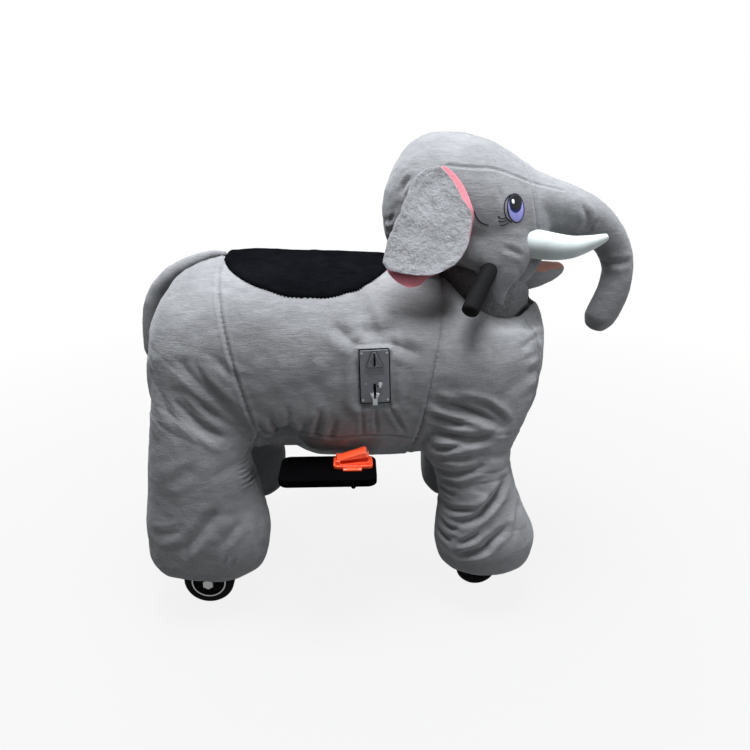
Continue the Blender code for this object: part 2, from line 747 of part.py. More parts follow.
def toothed(name, teeth, radius, bore, centre_y, x, z, phase):
    """A straight-cut gear around a Y axis; phase is the angle of one tooth's middle."""
    shape = bmesh.new()
    pitch = 2 * pi / teeth
    root = radius - GEAR_MODULE * 1.1
    tip = radius + GEAR_MODULE * 0.8
    outline = []
    for tooth in range(teeth):
        middle = phase + tooth * pitch
        for radial, share in ((root, -0.24), (tip, -0.10), (tip, 0.10), (root, 0.24)):
            angle = middle + share * pitch
            outline.append((x + radial * cos(angle), z + radial * sin(angle)))
    sides = []
    for y in (centre_y - GEAR_WIDTH / 2, centre_y + GEAR_WIDTH / 2):
        sides.append([shape.verts.new((px, y, pz)) for px, pz in outline])
    join_rings(shape, sides[0], sides[1])
    for ring in sides:
        shape.faces.new(ring)
    made = solid(name, shape, "zinc_steel")
    start = (x, centre_y - GEAR_WIDTH, z)
    end = (x, centre_y + GEAR_WIDTH, z)
    combine(made, rod("bore", start, end, bore, "zinc_steel"))
    return made


def make_drive():
    """Rear axle with its end nuts, wheels, gears, motor, motor plate and gear case."""
    moving = {}
    fixed = {}
    reach = REAR_WHEEL_Y + REAR_WHEEL_WIDTH / 2 + AXLE_END_LENGTH
    start = (REAR_AXLE_X, -reach, REAR_AXLE_Z)
    end = (REAR_AXLE_X, reach, REAR_AXLE_Z)
    moving["rear_axle"] = rod("rear_axle", start, end, AXLE_RADIUS, "zinc_steel")
    for name, side in SIDES:
        centre = (REAR_AXLE_X, side * REAR_WHEEL_Y, REAR_AXLE_Z)
        bore = (AXLE_RADIUS + GAP) / cos(pi / WHEEL_SIDES)
        moving["rear_wheel_" + name] = make_wheel(
            "rear_wheel_" + name, centre, REAR_WHEEL_RADIUS, REAR_WHEEL_WIDTH, bore, side)
        face = side * (REAR_WHEEL_Y + REAR_WHEEL_WIDTH / 2 + GAP)
        start = (REAR_AXLE_X, face, REAR_AXLE_Z)
        end = (REAR_AXLE_X, face + side * NUT_LENGTH, REAR_AXLE_Z)
        combine(moving["rear_axle"], rod("nut", start, end, NUT_RADIUS, "zinc_steel", sides=6), "UNION")

    towards = radians(PINION_ANGLE)
    gear_bore = (AXLE_RADIUS + GAP) / cos(pi / 20)
    moving["drive_gear"] = toothed(
        "drive_gear", GEAR_TEETH, GEAR_RADIUS, gear_bore, GEAR_Y, REAR_AXLE_X, REAR_AXLE_Z, towards)
    pinion_phase = towards + pi + pi / PINION_TEETH
    pinion_bore = (MOTOR_SHAFT_RADIUS + GAP) / cos(pi / 20)
    pinion = toothed(
        "motor_pinion", PINION_TEETH, PINION_RADIUS, pinion_bore, GEAR_Y, PINION_X, PINION_Z, pinion_phase)
    plug_start = (PINION_X, GEAR_Y - GEAR_WIDTH / 2 - RUNNING_GAP / 2, PINION_Z)
    plug_end = (PINION_X, GEAR_Y + GEAR_WIDTH / 2 + RUNNING_GAP / 2, PINION_Z)
    combine(pinion, rod("shaft", plug_start, plug_end, MOTOR_SHAFT_RADIUS + 0.001, "zinc_steel"), "UNION")

    plate_low = (REAR_AXLE_X - GEAR_RADIUS - 0.008, MOTOR_PLATE_Y, REAR_AXLE_Z - GEAR_RADIUS - 0.006)
    plate_top = PINION_Z + MOTOR_RADIUS + RUNNING_GAP - GAP
    plate_high = (PINION_X + PINION_RADIUS + 0.010, MOTOR_PLATE_Y + PLATE_THICKNESS, plate_top)
    plate = box("motor_plate", plate_low, plate_high, "zinc_steel")
    for x, z, radius in (
        (REAR_AXLE_X, REAR_AXLE_Z, AXLE_RADIUS + 0.002),
        (PINION_X, PINION_Z, MOTOR_SHAFT_RADIUS + 0.004),
    ):
        start = (x, MOTOR_PLATE_Y - 0.01, z)
        end = (x, MOTOR_PLATE_Y + 0.01, z)
        combine(plate, rod("hole", start, end, radius, "zinc_steel", sides=16))
    fixed["motor_plate"] = plate

    case_top = PINION_Z + PINION_RADIUS + 0.010
    case_inner = MOTOR_PLATE_Y + PLATE_THICKNESS + GAP
    case_outer = GEAR_Y + GEAR_WIDTH / 2 + RUNNING_GAP + CASE_WALL
    low = Vector((plate_low[0], case_inner, plate_low[2]))
    high = Vector((plate_high[0], case_outer, case_top))
    case = box("gear_case", low, high, "grey_plastic")
    wall = Vector((CASE_WALL, 0, CASE_WALL))
    hollow_low = low + wall - Vector((0, CASE_WALL, 0))
    hollow_high = high - wall - Vector((0, CASE_WALL, 0))
    combine(case, box("hollow", hollow_low, hollow_high))
    start = (REAR_AXLE_X, case_outer - 0.02, REAR_AXLE_Z)
    end = (REAR_AXLE_X, case_outer + 0.01, REAR_AXLE_Z)
    combine(case, rod("hole", start, end, AXLE_RADIUS + 0.002, "grey_plastic", sides=16))
    fixed["gear_case"] = case

    start = (PINION_X, MOTOR_PLATE_Y - GAP, PINION_Z)
    end = (PINION_X, MOTOR_PLATE_Y - GAP - MOTOR_LENGTH, PINION_Z)
    fixed["drive_motor"] = rod("drive_motor", start, end, MOTOR_RADIUS, "black_plastic", sides=20)
    return fixed, moving, pinion


def make_front_fork(name, side):
    """Fork with its kingpin, axle bolt, steering crank and crank pin."""
    y = side * KINGPIN_Y
    inner = FRONT_WHEEL_WIDTH / 2 + RUNNING_GAP
    outer = inner + FORK_PLATE
    low = (KINGPIN_X - CRANK_WIDTH, y - outer, CROWN_BASE_Z)
    high = (KINGPIN_X + CRANK_WIDTH, y + outer, CROWN_TOP_Z)
    fork = box("front_fork_" + name, low, high, "painted_steel")
    half = CRANK_WIDTH / 2
    for face in (-1, 1):
        near = y + face * inner
        far = y + face * outer
        low = (KINGPIN_X - half, min(near, far), FRONT_AXLE_Z - half)
        high = (KINGPIN_X + half, max(near, far), CROWN_BASE_Z + FORK_CROWN / 2)
        combine(fork, box("blade", low, high), "UNION")
    start = (KINGPIN_X, y - outer - 0.004, FRONT_AXLE_Z)
    end = (KINGPIN_X, y + outer + 0.004, FRONT_AXLE_Z)
    combine(fork, rod("bolt", start, end, FRONT_BOLT_RADIUS, "zinc_steel", sides=16), "UNION")
    start = (KINGPIN_X, y, CROWN_BASE_Z + FORK_CROWN / 2)
    end = (KINGPIN_X, y, RAIL_TOP_Z - 0.007)
    combine(fork, rod("kingpin", start, end, KINGPIN_RADIUS, "zinc_steel"), "UNION")
    low = (KINGPIN_X - CRANK_LENGTH - half, y - half, CROWN_BASE_Z)
    high = (KINGPIN_X - half, y + half, CROWN_TOP_Z)
    combine(fork, box("crank", low, high), "UNION")
    start = (KINGPIN_X - CRANK_LENGTH, y, CROWN_BASE_Z + FORK_CROWN / 2)
    end = (KINGPIN_X - CRANK_LENGTH, y, TIE_ROD_TOP_Z + 0.001)
    combine(fork, rod("pin", start, end, CRANK_PIN_RADIUS, "zinc_steel", sides=12), "UNION")
    return fork


def make_tie_rod():
    """The flat bar that links both cranks with the column's arm."""
    x = KINGPIN_X - CRANK_LENGTH
    half = TIE_ROD_WIDTH / 2
    reach = KINGPIN_Y + half
    bar = rounded_box("tie_rod", (x - half, -reach, TIE_ROD_BASE_Z), (x + half, reach, TIE_ROD_TOP_Z),
                      "zinc_steel", half * 0.7, segments=2)
    for y in (-KINGPIN_Y, 0, KINGPIN_Y):
        start = (x, y, TIE_ROD_BASE_Z - 0.01)
        end = (x, y, TIE_ROD_TOP_Z + 0.01)
        combine(bar, rod("eye", start, end, CRANK_PIN_RADIUS + BEARING_CLEARANCE, "zinc_steel", sides=12))
    return bar


def handlebar_points(side, first, radius):
    """Centre line of one half of the handlebar from a point on."""
    rows = smooth_rows(HANDLEBAR_POINTS, 3)
    return [(mirrored(point, side), radius, radius) for point in rows[first:]]


def make_steering():
    """Column with its handlebar and arm, and the grips."""
    start = (KINGPIN_X, 0, PITMAN_BASE_Z)
    column = rod("steering_column", start, (KINGPIN_X, 0, COLUMN_TOP_Z), COLUMN_RADIUS, "painted_steel")
    half = CRANK_WIDTH / 2
    low = (KINGPIN_X - CRANK_LENGTH - half, -half, PITMAN_BASE_Z)
    high = (KINGPIN_X - COLUMN_RADIUS / 2, half, PITMAN_BASE_Z + PITMAN_THICKNESS)
    combine(column, box("arm", low, high), "UNION")
    start = (KINGPIN_X - CRANK_LENGTH, 0, TIE_ROD_BASE_Z)
    end = (KINGPIN_X - CRANK_LENGTH, 0, PITMAN_BASE_Z + PITMAN_THICKNESS / 2)
    combine(column, rod("pin", start, end, CRANK_PIN_RADIUS, "zinc_steel", sides=12), "UNION")
    grips = {}
    for name, side in SIDES:
        points = handlebar_points(side, 0, HANDLEBAR_RADIUS)
        bar = form_along_path("bar", points, "painted_steel", 12)
        combine(column, bar, "UNION")
        rows = handlebar_points(side, 0, GRIP_RADIUS)
        first = int(len(rows) * (1 - GRIP_START))
        grip = form_along_path("grip_" + name, rows[first:], "black_rubber", 14)
        core = handlebar_points(side, max(first - 2, 0), HANDLEBAR_RADIUS + SKIN_GAP)
        combine(grip, form_along_path("core", core, "black_rubber", 12))
        grips["grip_" + name] = grip
    return column, grips


def hand_space(side):
    """The round room that a hand needs along a grip."""
    start = mirrored(HANDLEBAR_POINTS[2], side)
    end = mirrored(HANDLEBAR_POINTS[-1], side)
    reach = end + (end - start).normalized() * HAND_SPACE_RADIUS
    return rod("hand_space", start, reach, HAND_SPACE_RADIUS, "grey_plush", sides=14)


def make_head():
    """Head cover, trunk, tusks, lower jaw, ears and neck sleeve."""
    head = form_along_x("head_cover", HEAD_STATIONS, HEAD_BACK, HEAD_FRONT, "grey_plush", 2.1, 1, 24)
    whole_head = copy_of(head, SKIN_GAP)
    trunk_rows = smooth_rows(TRUNK_STATIONS, 2)
    trunk_points = [((x, 0, z), rise, half) for x, z, rise, half in trunk_rows]
    trunk = form_along_path("trunk", trunk_points, "grey_plush", 16)
    combine(trunk, copy_of(head, SKIN_GAP))
    jaw = form_along_x("lower_jaw", JAW_STATIONS, None, JAW_FRONT, "grey_plush", 2.2, 1, 14)
    whole_jaw = copy_of(jaw, SKIN_GAP)
    combine(jaw, copy_of(head, SKIN_GAP))
    pieces = {"trunk": trunk, "lower_jaw": jaw}
    for name, side in SIDES:
        rows = smooth_rows(TUSK_STATIONS, 2)
        points = [(mirrored(row, side), row[3], row[3]) for row in rows]
        tusk = form_along_path("tusk_" + name, points, "pale_plush", 12)
        combine(tusk, copy_of(head, SKIN_GAP))
        combine(tusk, copy_of(trunk, SKIN_GAP))
        pieces["tusk_" + name] = tusk
        ear = make_ear("ear_" + name, side)
        combine(ear, copy_of(head, SKIN_GAP))
        pieces["ear_" + name] = ear
        tunnel = handlebar_points(side, 0, HANDLEBAR_RADIUS + POCKET_CLEARANCE)
        combine(head, form_along_path("tunnel", tunnel, "grey_plush", 12))
        combine(head, hand_space(side))
    start = (NECK_X, 0, HEAD_STATIONS[0][1] - 0.2)
    end = (NECK_X, 0, COLUMN_TOP_Z + POCKET_CLEARANCE)
    combine(head, rod("bore", start, end, COLUMN_RADIUS + POCKET_CLEARANCE, "grey_plush"))

    outer = NECK_SLEEVE_RADIUS
    base = NECK_FLOOR_Z + RUNNING_GAP
    bore = HEAD_TUBE_RADIUS + POCKET_CLEARANCE * 2
    profile = (
        (bore, base), (outer * 0.94, base), (outer, base + 0.020), (outer * 0.97, base + 0.060),
        (outer * 0.90, NECK_SLEEVE_TOP_Z), (bore, NECK_SLEEVE_TOP_Z),
    )
    neck = turned("neck_sleeve", profile, (NECK_X, 0, 0), (0, 0, 1), "grey_plush", 24)
    combine(neck, whole_head)
    for name, side in SIDES:
        combine(neck, hand_space(side))
    combine(neck, whole_jaw)
    pieces["neck_sleeve"] = neck
    pieces["head_cover"] = head
    return pieces


def make_ear(name, side):
    """A cupped flap, thick in the middle, that flares out towards its lower edge."""
    top = max(z for x, z in EAR_OUTLINE)
    height = top - min(z for x, z in EAR_OUTLINE)
    centre_x = sum(x for x, z in EAR_OUTLINE) / len(EAR_OUTLINE)
    centre_z = sum(z for x, z in EAR_OUTLINE) / len(EAR_OUTLINE)

    def place(scale, share):
        ring = []
        for x, z in EAR_OUTLINE:
            px = centre_x + (x - centre_x) * scale
            pz = centre_z + (z - centre_z) * scale
            flare = EAR_FLARE * (top - pz) / height
            ring.append(Vector((px, side * (EAR_TOP_Y + flare + EAR_THICKNESS * share), pz)))
        return ring

    def pole(share):
        flare = EAR_FLARE * (top - centre_z) / height
        return Vector((centre_x, side * (EAR_TOP_Y + flare + EAR_THICKNESS * share), centre_z))

    rings = [place(0.55, -0.95), place(0.88, -0.70), place(1.0, -0.35), place(0.97, -0.08), place(0.80, 0.08)]
    return skin(name, rings, pole(-1.0), pole(0.15), "grey_plush")


def half_space(seam, forward, offset):
    """A large block on one side of a slanted seam, moved by an offset along the seam's normal."""
    (top_x, top_z), (low_x, low_z) = seam
    top = Vector((top_x, 0, top_z))
    low = Vector((low_x, 0, low_z))
    along = (top - low).normalized()
    normal = Vector((along.z, 0, -along.x)) * (1 if forward else -1)
    middle = (top + low) / 2 + normal * (HALF_SPACE_SIZE / 2 + offset)
    turn = Matrix((normal, (0, 1, 0), along)).transposed().to_4x4()
    shape = bmesh.new()
    bmesh.ops.create_cube(shape, size=HALF_SPACE_SIZE, matrix=Matrix.Translation(middle) @ turn)
    return solid("side", shape)


def make_covers():
    """The three covers of the barrel, the seat pad, the legs and the tail."""
    barrel = form_along_x("barrel", BODY_STATIONS, BODY_BACK, BODY_FRONT, "grey_plush", BODY_POWER)
    fine = form_along_x(
        "fine", BODY_STATIONS, BODY_BACK, BODY_FRONT, "grey_plush", BODY_POWER, 2, PLUSH_SIDES * 2)

    covers = {}
    for name, cuts in (
        ("rear_cover", (half_space(REAR_SEAM, True, 0.0),)),
        ("middle_cover", (half_space(REAR_SEAM, False, -GAP), half_space(FRONT_SEAM, True, 0.0))),
        ("front_cover", (half_space(FRONT_SEAM, False, -GAP),)),
    ):
        cover = copy_of(barrel)
        cover.name = name
        cover.data.materials.clear()
        cover.data.materials.append(finish_material("grey_plush"))
        for side in cuts:
            combine(cover, side)
        covers[name] = cover

    legs = {}
    for name, side in SIDES:
        for leg_name, stations in (("rear_leg_", REAR_LEG_STATIONS), ("front_leg_", FRONT_LEG_STATIONS)):
            leg = form_along_z(leg_name + name, stations, side, "grey_plush")
            combine(leg, copy_of(barrel, SKIN_GAP))
            legs[leg_name + name] = leg

    tail_points = [((x, 0, z), radius, radius * 1.15) for x, z, radius in smooth_rows(TAIL_STATIONS, 2)]
    tail = form_along_path("tail", tail_points, "grey_plush", 12, flat_start=False)
    combine(tail, copy_of(barrel, SKIN_GAP))

    seat = make_seat(fine)
    bpy.data.objects.remove(fine, do_unlink=True)
    combine(seat, copy_of(barrel, SKIN_GAP))
    combine(tail, copy_of(seat, SKIN_GAP))
    bpy.data.objects.remove(barrel, do_unlink=True)

    start = (NECK_X, 0, NECK_FLOOR_Z)
    end = (NECK_X, 0, NECK_FLOOR_Z + 0.3)
    combine(covers["front_cover"], rod("neck_hole", start, end, NECK_RADIUS, "grey_plush", sides=28))
    combine(covers["middle_cover"], rod("neck_hole", start, end, NECK_RADIUS, "grey_plush", sides=28))
    return covers, legs, tail, seat


def make_seat(fine):
    """The black pad: the barrel's own back, thickened inside an oval and crowned in its middle."""
    shape = bmesh.new()
    shape.from_mesh(fine.data)
    shape.normal_update()
    moves = []
    for vert in shape.verts:
        across = ((vert.co.x - SEAT_CENTRE_X) / SEAT_HALF_LENGTH) ** 2 + (vert.co.y / SEAT_HALF_WIDTH) ** 2
        crown = max(0.0, 1.0 - across) ** 0.5
        moves.append((vert, vert.normal * (SEAT_EDGE + SEAT_CROWN * crown)))
    for vert, move in moves:
        vert.co += move
    seat = solid("seat_pad", shape, "black_plush")
    seat.data.shade_smooth()
    back = SEAT_CENTRE_X - SEAT_HALF_LENGTH
    front = SEAT_CENTRE_X + SEAT_HALF_LENGTH
    rows = []
    for z in (BODY_STATIONS[6][2] - 0.2, BODY_STATIONS[6][2] + 0.2):
        rows.append((z, back, front, -SEAT_HALF_WIDTH, SEAT_HALF_WIDTH))
    oval_tool = form_along_z("oval", rows, 1, "black_plush", 2.4, 36)
    combine(seat, oval_tool, "INTERSECT")
    return seat


def make_footboards():
    """Cross bar, both footboards, and the accelerator's base and lever."""
    pieces = {}
    half = RAIL_SIZE / 2
    reach = FOOT_BAR_REACH
    low = (FOOT_BAR_X - half, -reach, FOOT_BAR_TOP_Z - RAIL_SIZE)
    high = (FOOT_BAR_X + half, reach, FOOT_BAR_TOP_Z)
    pieces["footboard_bar"] = square_tube("footboard_bar", low, high, "painted_steel", RAIL_WALL, 1)
    for name, side in SIDES:
        ys = sorted((side * FOOTBOARD_INNER_Y, side * FOOTBOARD_OUTER_Y))
        low = (FOOTBOARD_BACK_X, ys[0], FOOTBOARD_BASE_Z)
        high = (FOOTBOARD_FRONT_X, ys[1], FOOTBOARD_TOP_Z)
        pieces["footboard_" + name] = rounded_box(
            "footboard_" + name, low, high, "black_plastic", FOOTBOARD_CORNER, segments=4)

    half = PEDAL_WIDTH / 2
    low = (PEDAL_BACK_X, PEDAL_Y - half, PEDAL_BASE_Z)
    high = (PEDAL_BACK_X + PEDAL_LENGTH, PEDAL_Y + half, PEDAL_BASE_Z + PEDAL_BASE_HEIGHT)
    base = rounded_box("pedal_base", low, high, "orange_plastic", 0.005, segments=2)
    tab_low = (PEDAL_BACK_X + 0.020, PEDAL_Y - half - 0.010, PEDAL_BASE_Z)
    tab_high = (PEDAL_BACK_X + 0.060, PEDAL_Y - half + 0.004, PEDAL_BASE_Z + 0.004)
    combine(base, box("tab", tab_low, tab_high), "UNION")
    for face in (-1, 1):
        ear_inner = PEDAL_Y + face * (half - 0.006)
        ear_outer = PEDAL_Y + face * half
        ear_low = (PEDAL_BACK_X + 0.003, min(ear_inner, ear_outer), PEDAL_BASE_Z + 0.004)
        ear_high = (PEDAL_BACK_X + 0.018, max(ear_inner, ear_outer), PEDAL_HINGE.z + PEDAL_HINGE_RADIUS)
        combine(base, box("ear", ear_low, ear_high), "UNION")
    pieces["pedal_base"] = base

    lever = bmesh.new()
    floor = PEDAL_BASE_Z + PEDAL_BASE_HEIGHT
    back = PEDAL_HINGE.x
    front = PEDAL_BACK_X + PEDAL_LENGTH - 0.008
    outline = (
        (back, PEDAL_HINGE.z - PEDAL_HINGE_RADIUS), (front, floor + 0.011), (front + 0.002, floor + 0.014),
        (front - 0.006, floor + PEDAL_LEVER_HEIGHT), (front - 0.012, floor + PEDAL_LEVER_HEIGHT),
        (back, PEDAL_HINGE.z + PEDAL_HINGE_RADIUS), (back - PEDAL_HINGE_RADIUS, PEDAL_HINGE.z),
    )
    inner = half - 0.0066
    rings = [[lever.verts.new((x, PEDAL_Y + y, z)) for x, z in outline] for y in (-inner, inner)]
    join_rings(lever, rings[0], rings[1])
    for ring in rings:
        lever.faces.new(ring)
    return pieces, solid("pedal_lever", lever, "orange_plastic")


def make_coin_set():
    """Coin plate with its slots, the mechanism behind it, the coin box and the return lever."""
    pieces = {}
    half = COIN_PLATE_WIDTH / 2
    rise = COIN_PLATE_HEIGHT / 2
    low = (COIN_X - half, COIN_PLATE_FACE_Y, COIN_Z - rise)
    high = (COIN_X + half, COIN_PLATE_FACE_Y + COIN_PLATE_THICKNESS, COIN_Z + rise)
    plate = rounded_box("coin_plate", low, high, "plate_metal", 0.004, axis=1, segments=2)

    body_low = (COIN_X - half + 0.003, COIN_BACK_Y, COIN_Z - rise + 0.004)
    body_high = (COIN_X + half - 0.003, COIN_BACK_Y + COIN_DEPTH, COIN_Z + rise - 0.004)
    body = box("coin_mechanism", body_low, body_high, "grey_plastic")

    slot = COIN_SLOT_WIDTH / 2
    front = COIN_PLATE_FACE_Y - 0.01
    entry_low = COIN_Z + rise - 0.008 - COIN_SLOT_HEIGHT
    exit_low = COIN_Z - rise + 0.012
    for base in (entry_low, exit_low):
        slot_low = (COIN_X - slot, front, base)
        slot_high = (COIN_X + slot, COIN_BACK_Y + COIN_SLOT_DEPTH, base + COIN_SLOT_HEIGHT)
        combine(plate, box("slot", slot_low, slot_high))
        combine(body, box("slot", slot_low, slot_high))

    window_low = (LEVER_PIVOT.x - 0.006, front, LEVER_KNOB.z - 0.016)
    window_high = (LEVER_KNOB.x + 0.008, COIN_BACK_Y + 0.006, LEVER_PIVOT.z + 0.006)
    lever_gap = COIN_BACK_Y + 0.006
    combine(plate, box("window", window_low, window_high))
    combine(body, box("window", window_low, window_high))

    thickness = 0.003
    arm_y = COIN_BACK_Y + 0.002
    start = (LEVER_PIVOT.x, arm_y, LEVER_PIVOT.z)
    end = (LEVER_PIVOT.x, arm_y + thickness, LEVER_PIVOT.z)
    lever = rod("return_lever", start, end, 0.0045, "zinc_steel", sides=12)
    line = LEVER_KNOB - LEVER_PIVOT
    points = []
    for share in (0.0, 0.5, 1.0):
        spot = LEVER_PIVOT + line * share
        points.append(((spot.x, arm_y + thickness / 2, spot.z), 0.0035, 0.0014))
    combine(lever, form_along_path("arm", points, "zinc_steel", 8), "UNION")
    start = (LEVER_KNOB.x, COIN_PLATE_FACE_Y - 0.007, LEVER_KNOB.z)
    end = (LEVER_KNOB.x, arm_y + thickness, LEVER_KNOB.z)
    combine(lever, rod("knob", start, end, 0.0050, "zinc_steel", sides=14), "UNION")
    pin_start = (LEVER_PIVOT.x, arm_y + thickness / 2, LEVER_PIVOT.z)
    pin_end = (LEVER_PIVOT.x, lever_gap + 0.010, LEVER_PIVOT.z)
    combine(lever, rod("pin", pin_start, pin_end, 0.002, "zinc_steel", sides=10), "UNION")
    hole_start = (LEVER_PIVOT.x, lever_gap - 0.002, LEVER_PIVOT.z)
    hole_end = (LEVER_PIVOT.x, lever_gap + 0.011, LEVER_PIVOT.z)
    combine(body, rod("hole", hole_start, hole_end, 0.0025, "zinc_steel", sides=10))

    pieces["coin_plate"] = plate
    pieces["coin_mechanism"] = body
    box_top = body_low[2] - GAP
    box_back = COIN_X - COIN_BOX_SIZE[0] / 2
    low = (box_back, COIN_BACK_Y + COIN_BOX_SETBACK, box_top - COIN_BOX_SIZE[2])
    high = (box_back + COIN_BOX_SIZE[0], COIN_BACK_Y + COIN_BOX_SETBACK + COIN_BOX_SIZE[1], box_top)
    pieces["coin_box"] = rounded_box("coin_box", low, high, "painted_steel", 0.003, segments=1)
    return pieces, lever


def cut_wells(covers, legs):
    """Cut the room for wheels, forks, posts, tubes, tie rod and drive out of legs and covers."""
    for name, side in SIDES:
        front_leg = legs["front_leg_" + name]
        y = side * KINGPIN_Y
        well_top = KINGPIN_TUBE_BASE_Z + 0.006
        start = (KINGPIN_X, y, 0)
        end = (KINGPIN_X, y, well_top)
        combine(front_leg, rod("well", start, end, FRONT_WELL_RADIUS, "grey_plush"))
        ys = sorted((0.0, y))
        rod_x = KINGPIN_X - CRANK_LENGTH
        reach = TIE_ROD_WIDTH / 2 + TIE_ROD_ROOM
        combine(front_leg, box("passage", (rod_x - reach, ys[0], 0), (rod_x + reach, ys[1], well_top)))
        tube = KINGPIN_TUBE_RADIUS + POCKET_CLEARANCE
        start = (KINGPIN_X, y, well_top - 0.01)
        end = (KINGPIN_X, y, RAIL_TOP_Z + POCKET_CLEARANCE)
        combine(front_leg, rod("pocket", start, end, tube, "grey_plush"))
        for cover in covers.values():
            combine(cover, rod("pocket", start, end, tube, "grey_plush"))

        rear_leg = legs["rear_leg_" + name]
        wheel_low = REAR_WHEEL_Y - REAR_WHEEL_WIDTH / 2 - WELL_CLEARANCE
        wheel_high = REAR_WHEEL_Y + REAR_WHEEL_WIDTH / 2 + NUT_LENGTH + WELL_OUTER_CLEARANCE
        start = (REAR_AXLE_X, side * wheel_low, REAR_AXLE_Z)
        end = (REAR_AXLE_X, side * wheel_high, REAR_AXLE_Z)
        well = rod("well", start, end, REAR_WHEEL_RADIUS + WELL_CLEARANCE, "grey_plush", sides=20)
        combine(rear_leg, well)
        ys = sorted((0.0, side * (wheel_low + 0.004)))
        reach = BEARING_LENGTH / 2 + WELL_CLEARANCE / 2
        low = (REAR_AXLE_X - reach, ys[0], 0.0)
        high = (REAR_AXLE_X + reach, ys[1], BEARING_TOP_Z + WELL_CLEARANCE / 2)
        combine(rear_leg, box("slot", low, high))


def build():
    clear_scene()
    frame = make_frame()
    equipment = make_equipment()
    drive, axle_set, pinion = make_drive()
    forks = {name: make_front_fork(name, side) for name, side in SIDES}
    front_wheels = {}
    for name, side in SIDES:
        centre = (KINGPIN_X, side * KINGPIN_Y, FRONT_AXLE_Z)
        bore = (FRONT_BOLT_RADIUS + BEARING_CLEARANCE) / cos(pi / WHEEL_SIDES)
        front_wheels[name] = make_wheel(
            "front_wheel_" + name, centre, FRONT_WHEEL_RADIUS, FRONT_WHEEL_WIDTH, bore, side)
    tie_rod = make_tie_rod()
    column, grips = make_steering()
    head = make_head()
    covers, legs, tail, seat = make_covers()
    footboards, pedal_lever = make_footboards()
    coin_set, return_lever = make_coin_set()

    cut_wells(covers, legs)
    soft = list(covers.values())
    rear_legs = [legs["rear_leg_left"], legs["rear_leg_right"]]
    for piece in list(frame.values()) + list(equipment.values()) + list(footboards.values()):
        if piece.name.startswith("footboard_l") or piece.name.startswith("footboard_r"):
            continue
        pocket(soft, piece)
    for name, side in SIDES:
        pocket(rear_legs, frame["rear_post_" + name])
        pocket(rear_legs, frame["rail_" + name])
    pocket(rear_legs, frame["axle_beam"])
    for piece in coin_set.values():
        pocket(soft, piece)
    bore_start = (KINGPIN_X, 0, PITMAN_BASE_Z)
    bore_end = (KINGPIN_X, 0, NECK_FLOOR_Z + 0.01)
    column_room = HEAD_TUBE_RADIUS + POCKET_CLEARANCE
    combine(covers["front_cover"], rod("bore", bore_start, bore_end, column_room, "grey_plush"))

    for group in (frame, equipment, drive, covers, legs, footboards, coin_set):
        for piece in group.values():
            settle(piece)
    settle(tail)
    settle(seat)

    axle = joint_empty("rear_axle_joint", (REAR_AXLE_X, 0, REAR_AXLE_Z))
    for piece in axle_set.values():
        settle(piece, axle.location, axle)
    motor = joint_empty("motor_shaft_joint", (PINION_X, GEAR_Y, PINION_Z))
    settle(pinion, motor.location, motor)
    steering = joint_empty("steering_joint", (KINGPIN_X, 0, HEAD_TUBE_TOP_Z))
    for piece in [column] + list(grips.values()) + list(head.values()):
        settle(piece, steering.location, steering)
    link = joint_empty("tie_rod_joint", (KINGPIN_X - CRANK_LENGTH, 0, TIE_ROD_TOP_Z))
    settle(tie_rod, link.location, link)
    for name, side in SIDES:
        kingpin = joint_empty("kingpin_joint_" + name, (KINGPIN_X, side * KINGPIN_Y, KINGPIN_TUBE_BASE_Z))
        settle(forks[name], kingpin.location, kingpin)
        hub = joint_empty("front_hub_joint_" + name, (KINGPIN_X, side * KINGPIN_Y, FRONT_AXLE_Z))
        settle(front_wheels[name], hub.location, hub)
    pedal = joint_empty("pedal_joint", PEDAL_HINGE)
    settle(pedal_lever, pedal.location, pedal)
    coin = joint_empty("return_lever_joint", LEVER_PIVOT)
    settle(return_lever, coin.location, coin)


if __name__ == "__main__":
    build()
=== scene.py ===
"""Dresses the coin-operated elephant ride: plush covers, head, seat pad, wheels and hardware over its frame.

Units are metres; the tables are written in millimetres. +X is forward, +Z is up, and the rider's right, with
the coin plate, is -Y.
"""

from contextlib import contextmanager
from math import cos, pi, radians, sin

import bpy
import numpy as np
from bpy.props import FloatProperty, FloatVectorProperty, IntProperty, PointerProperty
from mathutils import Matrix, Vector, noise
from mathutils.bvhtree import BVHTree


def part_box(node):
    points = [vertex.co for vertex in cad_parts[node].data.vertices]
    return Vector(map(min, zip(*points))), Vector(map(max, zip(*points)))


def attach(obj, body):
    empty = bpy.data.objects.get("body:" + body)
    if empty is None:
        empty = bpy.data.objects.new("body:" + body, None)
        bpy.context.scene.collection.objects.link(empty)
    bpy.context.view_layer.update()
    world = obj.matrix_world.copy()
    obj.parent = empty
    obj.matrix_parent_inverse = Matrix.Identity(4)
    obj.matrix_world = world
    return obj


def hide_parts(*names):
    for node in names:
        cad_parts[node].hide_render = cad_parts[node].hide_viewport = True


bl_info = {
    "name": "Coin-operated elephant ride",
    "version": (1, 0, 0),
    "blender": (4, 5, 0),
    "location": "View3D > Sidebar > Elephant Ride",
    "description": "Dresses the ride's frame with plush covers, head, seat pad, wheels and hardware",
    "category": "Object",
}

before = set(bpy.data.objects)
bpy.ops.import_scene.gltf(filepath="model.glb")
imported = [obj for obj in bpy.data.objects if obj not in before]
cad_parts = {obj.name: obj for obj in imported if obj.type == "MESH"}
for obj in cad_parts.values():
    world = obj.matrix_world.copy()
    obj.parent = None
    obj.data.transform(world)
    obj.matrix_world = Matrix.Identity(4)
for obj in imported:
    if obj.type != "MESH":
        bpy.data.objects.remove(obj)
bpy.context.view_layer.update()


def metres(rows):
    """A table of millimetres in metres."""
    return tuple(metres(row) for row in rows) if isinstance(rows, tuple) else rows / 1000


